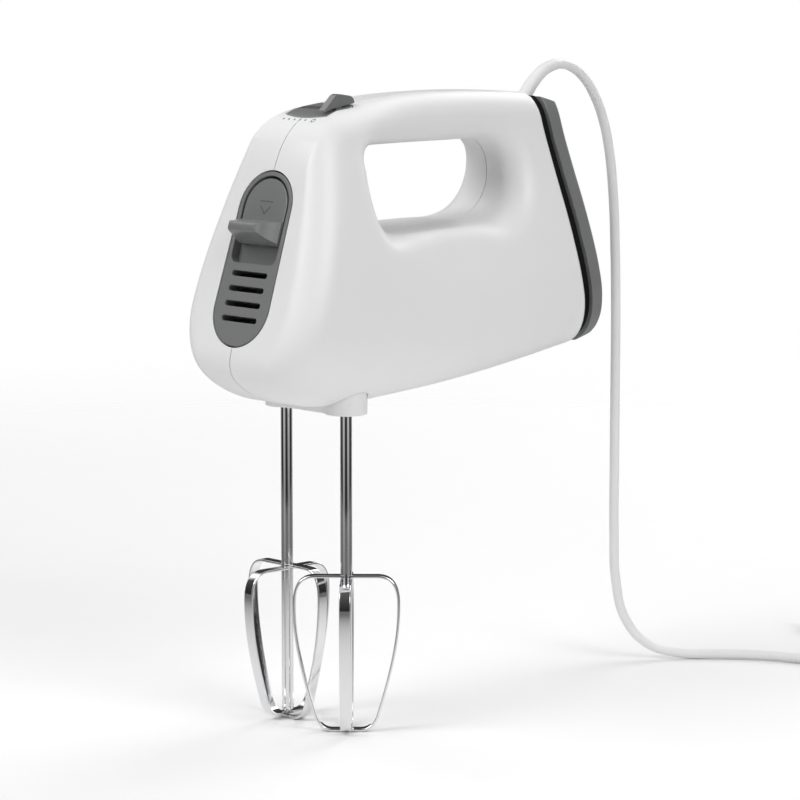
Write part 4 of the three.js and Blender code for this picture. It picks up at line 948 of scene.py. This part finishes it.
def speed_lever():
    profile = chain(
        (-5.4, 275.6), ((0.6, 281.3),), ((2.0, 282.5), (3.6, 282.45)), ((9.4, 281.6),),
        ((12.4, 281), (12.4, 278.4)), ((12.2, 278.2),), ((-5.2, 275.4),), fine=10)[:-1]
    fin = stack("lever_fin", profile, [(-LEVER_THICK / 2, 0), (LEVER_THICK / 2, 0)],
                lambda y, z, x: (LEVER_X + x, y, z))
    soften(fin, 0.55, 3, 50)
    stem = block("stem", (LEVER_X - 1.5, 1.8, 262.4), (LEVER_X + 1.5, 5, 279), upright)
    return finished(join([fin, stem]), "speed_control", "grey_plastic", ["speed_lever"], angle=38, flat=True)


def printed_dot(name, x, y, radius, bore=0.0):
    """A thin round print that follows the housing's surface."""
    sides, lift = 28, 0.05
    rings = [bore, radius] if bore else [0.001, radius]
    turn = 2 * math.pi * np.arange(sides) / sides
    faces = []
    ring_x = np.concatenate([x + ring * np.cos(turn) for ring in rings])
    ring_y = np.concatenate([y + ring * np.sin(turn) for ring in rings])
    points = np.column_stack([ring_x, ring_y, surface_height(ring_x, ring_y) + lift])
    for side in range(sides):
        beside = (side + 1) % sides
        faces.append((side, sides + side, sides + beside, beside))
    return mesh_piece(name, points, faces, closed=False)


def speed_marks():
    """A ring for off and a dot for each speed, printed ahead of the plate."""
    row = -9.0
    marks = [printed_dot(f"speed_mark_{i + 1}", x, row, 0.5)
             for i, x in enumerate((-10.4, -6.9, -3.4, 0.2, 3.6))]
    marks.append(printed_dot("speed_mark_off", 8.6, row, 1.15, 0.75))
    finished(join(marks), "housing", "white_plastic", material=INK)


speed_plate()
speed_lever()
speed_marks()


# ---- spindle plate, gasket, heel plate -----------------------------------------------------------
def spindle_plate():
    plate = stack("beater_sockets", plinth_plan(0), [(142.6, 0.5), (142.75, 0.15), (143.1, 0), (150.5, 0)],
                  upright)
    rim = stack("rim", plinth_plan(0), [(150, 0), (156.5, 0)], upright)
    cut(rim, [stack("rim_well", plinth_plan(-1.8), [(149, 0), (158, 0)], upright)])
    cut(plate, [rim], "UNION")
    cut(plate, [turned("socket", [(0, 130), (5, 130), (5, 160), (0, 160)], 40,
                       lambda a, b, h, x=x: (x + a, b, h)) for x in (-SPINDLE_X, SPINDLE_X)])
    return finished(plate, "housing", "white_plastic", ["spindle_plate"], angle=35)


def rear_outline(count=220):
    """The housing's rear edge, as a smooth closed line in the rear face."""
    heights = np.array([159.9, 161.2, 163.5, 168, 175, 185, 197, 210, 225, 240, 255, 267, 273, 276.6, 278.2])
    y = rear_line(heights) - 2.6
    widths = half_width(y, np.maximum(heights, bottom_line(y) + 0.05))
    up = (heights - REAR_HEAD[1]) / math.cos(REAR_LEAN)
    right = np.column_stack([widths, up])
    left = right[::-1] * (-1, 1)
    loop = np.vstack([right, left])
    return even(np.array(through(np.vstack([loop[-1:], loop, loop[:2]]), 16)), count)


REAR_EDGE = rear_outline()
HEEL_SCREWS = (-16, -88)
HEEL_SEAT = 8.5


def above_top():
    """Everything over the heel's sloping top, which carries on from the housing's."""
    fall = math.atan(0.35)
    return block("above_top", (-30, -4, 0), (30, 40, 20), lambda x, y, z: (
        x, 124.5 + y * math.cos(fall) + z * math.sin(fall), 278.2 - y * math.sin(fall) + z * math.cos(fall)))


def below_foot():
    """The heel's lower end is cut back towards the housing."""
    rise = math.radians(41)
    return block("below_foot", (-45, -6, -20), (45, 30, 0), lambda x, y, z: (
        x, 153.6 + y * math.cos(rise) - z * math.sin(rise), 160.2 + y * math.sin(rise) + z * math.cos(rise)))


def heel_screw_frame(v):
    return lambda a, b, h: on_rear(a, v + b, h)


def rear_pieces():
    gasket = stack("heel_gasket", REAR_EDGE, [(0.3, 2.2), (4.2, 2.2)], on_rear)
    cut(gasket, [lead_hole(), above_top()])
    finished(gasket, "housing", "black_rubber", ["rear_gasket"])
    heel = stack("heel_cover", REAR_EDGE,
                 [(4.5, 0.3), (4.8, 0), (10.2, 0), (11.2, 0.35), (12, 1.05), (12.6, 2.2)], on_rear)
    cut(heel, [above_top(), below_foot()])
    soften(heel, 0.5, 3, 45)
    cutters = [turned("well", [(0, HEEL_SEAT), (SCREW_HOLE, HEEL_SEAT), (SCREW_HOLE, 14), (0, 14)], 32,
                      heel_screw_frame(v)) for v in HEEL_SCREWS]
    cut(heel, [lead_hole(), *cutters])
    finished(heel, "housing", "grey_plastic", ["heel_plate"], angle=50, flat=True)
    for i, v in enumerate(HEEL_SCREWS):
        screw_head(f"heel_bolt_{i + 1}", f"heel_screw_{i + 1}", heel_screw_frame(v), HEEL_SEAT, 1)


spindle_plate()
rear_pieces()


# ---- beaters -------------------------------------------------------------------------------------
def loop_line(lift):
    """Centre line of a wire loop: from the hub, down one side and up the other."""
    drop = lift * LOOP_LIFT
    foot = STRIP["thick"] / 2 + drop
    half = chain(
        (1.2, CAGE_TOP - drop), ((14, CAGE_TOP - drop),),
        ((21, CAGE_TOP - drop), (23, 64.5 - drop), (23.2, 58)),
        ((23.6, 42), (19.6, 26), (14.2, 8 + drop)),
        ((12.6, 3 + drop), (10, foot), (6, foot)), ((0, foot),), fine=22)
    return np.vstack([half, half[:-1][::-1] * (-1, 1)])


def beater_loop(name, lift, centre, angle):
    line = loop_line(lift)
    run = np.gradient(line, axis=0)
    run /= np.linalg.norm(run, axis=1)[:, None]
    normal = np.column_stack([-run[:, 1], run[:, 0]])
    wide, thick = STRIP["width"] / 2, STRIP["thick"] / 2
    edge = 0.42
    section = [(-wide, -thick + edge), (-wide + 0.12, -thick + 0.12), (-wide + edge, -thick),
               (wide - edge, -thick), (wide - 0.12, -thick + 0.12), (wide, -thick + edge),
               (wide, thick - edge), (wide - 0.12, thick - 0.12), (wide - edge, thick),
               (-wide + edge, thick), (-wide + 0.12, thick - 0.12), (-wide, thick - edge)]
    points = []
    for (r, z), (nr, nz) in zip(line, normal):
        for sideways, out in section:
            reach, height = r + nr * out, z + nz * out
            points.append((centre + reach * math.cos(angle) - sideways * math.sin(angle),
                           reach * math.sin(angle) + sideways * math.cos(angle), height))
    return mesh_piece(name, points, tube_faces(len(line), len(section)))


SHAFT_TOP = 186
EARS = {"reach": 4.2, "half": 0.6, "low": 153, "high": 156.5}


def beater(side, centre, turn):
    """A rod with two ears that lock it, and its two crossed loops."""
    body = f"beater_{side}"
    clear = 2 * LOOP_LIFT + 0.2
    profile = [(0, clear), (1.9, clear), (SHAFT_RADIUS - 0.15, clear + 0.25), (SHAFT_RADIUS, clear + 0.8),
               (SHAFT_RADIUS, SHAFT_TOP - 2), (1.6, SHAFT_TOP), (0, SHAFT_TOP)]
    shaft = turned("shaft", profile, 48, lambda a, b, h: (centre + a, b, h))
    ears = block("ears", (centre - EARS["reach"], -EARS["half"], EARS["low"]),
                 (centre + EARS["reach"], EARS["half"], EARS["high"]), upright)
    soften(ears, 0.25)
    shaft = join([shaft, ears])
    shaft.name = f"spindle_rod_{side}"
    finished(shaft, body, "chrome", [f"beater_shaft_{side}"], angle=35)
    for lift, kind in ((0, "outer"), (1, "inner")):
        loop = beater_loop(f"whisk_{kind}_{side}", lift, centre, math.radians(turn + 90 * lift))
        finished(loop, body, "chrome", [f"beater_loop_{kind}_{side}"], angle=60, flat=True)


beater("left", SPINDLE_X, 45)
beater("right", -SPINDLE_X, 0)


# ---- the ejector's return spring -----------------------------------------------------------------
def return_spring(wire=0.5, turns=5, per_turn=20, sides=10):
    """Held at its foot, and wound at rest between the foot and head of the CAD's spring."""
    low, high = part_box("eject_spring")
    middle = (500 * (low.x + high.x), 500 * (low.y + high.y) - 1000 * SPINDLE_Y)
    foot, head = 1000 * low.z, 1000 * high.z
    radius = 500 * (high.x - low.x) - wire
    points = []
    count = turns * per_turn
    for k in range(count + 1):
        angle = 2 * math.pi * k / per_turn
        height = foot + wire + (head - foot - 2 * wire) * k / count
        for side in range(sides):
            around = 2 * math.pi * side / sides
            reach = radius + wire * math.cos(around)
            points.append((middle[0] + reach * math.cos(angle), middle[1] + reach * math.sin(angle),
                           height + wire * math.sin(around)))
    spring = mesh_piece("return_spring", points, tube_faces(count + 1, sides))
    finished(spring, "housing", "steel", ["eject_spring"], angle=60)
    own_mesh(spring)


return_spring()


# ---- floor and light -----------------------------------------------------------------------------
FLOOR = {"radius": 1.6, "sides": 96, "below": 0.0002}
ROOM = {"low": 0.1, "high": 1.6, "panels": 4, "gap": 0.06}
LAMPS = (("key", (-0.4, -1.2, 1.3), 0.9, 11.5), ("side", (1.4, -0.1, 1.0), 0.8, 8.5),
         ("rear", (-0.3, 1.3, 0.9), 0.8, 7))
LAMP_TARGET = (0, 0, 0.17)


def floor():
    """A round pale floor that fades out with distance, and sooner in reflections."""
    radius, sides = FLOOR["radius"], FLOOR["sides"]
    rim = [(radius * math.cos(2 * math.pi * i / sides), radius * math.sin(2 * math.pi * i / sides), 0)
           for i in range(sides)]
    mesh = bpy.data.meshes.new("floor")
    mesh.from_pydata(rim, [], [tuple(range(sides))])
    ground = bpy.data.objects.new("floor", mesh)
    bpy.context.scene.collection.objects.link(ground)
    ground.location.z = -FLOOR["below"]
    material = grained("floor_paper", (0.9, 0.9, 0.9), 0.8, 60, 0.02, 0.004, specular=0.1)
    nodes, link = material.node_tree.nodes, material.node_tree.links.new
    spot = add_node(nodes, "TexCoord")
    reach = add_node(nodes, "VectorMath", operation="LENGTH")
    far = add_node(nodes, "MapRange", {"From Min": 0.35, "From Max": 1.3}, interpolation_type="SMOOTHSTEP")
    near = add_node(nodes, "MapRange", {"From Min": 0.05, "From Max": 0.4, "To Max": 0.85})
    ray = add_node(nodes, "LightPath")
    pick = add_node(nodes, "Mix")
    clear = add_node(nodes, "BsdfTransparent")
    blend = add_node(nodes, "MixShader")
    link(spot.outputs["Object"], reach.inputs[0])
    for fade, socket in ((far, "A"), (near, "B")):
        link(reach.outputs["Value"], fade.inputs["Value"])
        link(fade.outputs["Result"], pick.inputs[socket])
    link(ray.outputs["Is Glossy Ray"], pick.inputs["Factor"])
    link(pick.outputs["Result"], blend.inputs[0])
    link(nodes["Principled BSDF"].outputs["BSDF"], blend.inputs[1])
    link(clear.outputs["BSDF"], blend.inputs[2])
    link(blend.outputs["Shader"], nodes["Material Output"].inputs["Surface"])
    mesh.materials.append(material)


def backdrop():
    """White to the camera; to the object a soft room, brighter above and in four broad panels."""
    world = bpy.data.worlds.new("studio")
    bpy.context.scene.world = world
    world.use_nodes = True
    nodes, link = world.node_tree.nodes, world.node_tree.links.new
    spot = add_node(nodes, "TexCoord")
    split = add_node(nodes, "SeparateXYZ")
    height = add_node(nodes, "MapRange", {"From Min": -0.2, "From Max": 0.9, "To Min": ROOM["low"],
                                          "To Max": ROOM["high"]})
    angle = add_node(nodes, "Math", operation="ARCTAN2")
    turn = add_node(nodes, "Math", {1: ROOM["panels"]}, operation="MULTIPLY")
    wave = add_node(nodes, "Math", operation="COSINE")
    panels = add_node(nodes, "MapRange", {"From Min": -0.5, "From Max": 0.9, "To Min": ROOM["gap"],
                                          "To Max": 1.0}, interpolation_type="SMOOTHSTEP")
    room = add_node(nodes, "Math", operation="MULTIPLY")
    ray = add_node(nodes, "LightPath")
    pick = add_node(nodes, "Mix", {"B": 1.0})
    link(spot.outputs["Generated"], split.inputs["Vector"])
    link(split.outputs["Z"], height.inputs["Value"])
    link(split.outputs["Y"], angle.inputs[0])
    link(split.outputs["X"], angle.inputs[1])
    link(angle.outputs["Value"], turn.inputs[0])
    link(turn.outputs["Value"], wave.inputs[0])
    link(wave.outputs["Value"], panels.inputs["Value"])
    link(height.outputs["Result"], room.inputs[0])
    link(panels.outputs["Result"], room.inputs[1])
    link(ray.outputs["Is Camera Ray"], pick.inputs["Factor"])
    link(room.outputs["Value"], pick.inputs["A"])
    link(pick.outputs["Result"], nodes["Background"].inputs["Strength"])
    nodes["Background"].inputs["Color"].default_value = (1, 1, 1, 1)


def lamps():
    """Square soft lamps, each given by its name, place, width and power."""
    for name, position, width, power in LAMPS:
        data = bpy.data.lights.new(name, "AREA")
        data.shape = "SQUARE"
        data.size = width
        data.energy = power
        lamp = bpy.data.objects.new(name, data)
        bpy.context.scene.collection.objects.link(lamp)
        lamp.location = position
        lamp.rotation_euler = (Vector(LAMP_TARGET) - lamp.location).to_track_quat("-Z", "Y").to_euler()


floor()
backdrop()
lamps()
bpy.context.scene.view_settings.view_transform = "Standard"
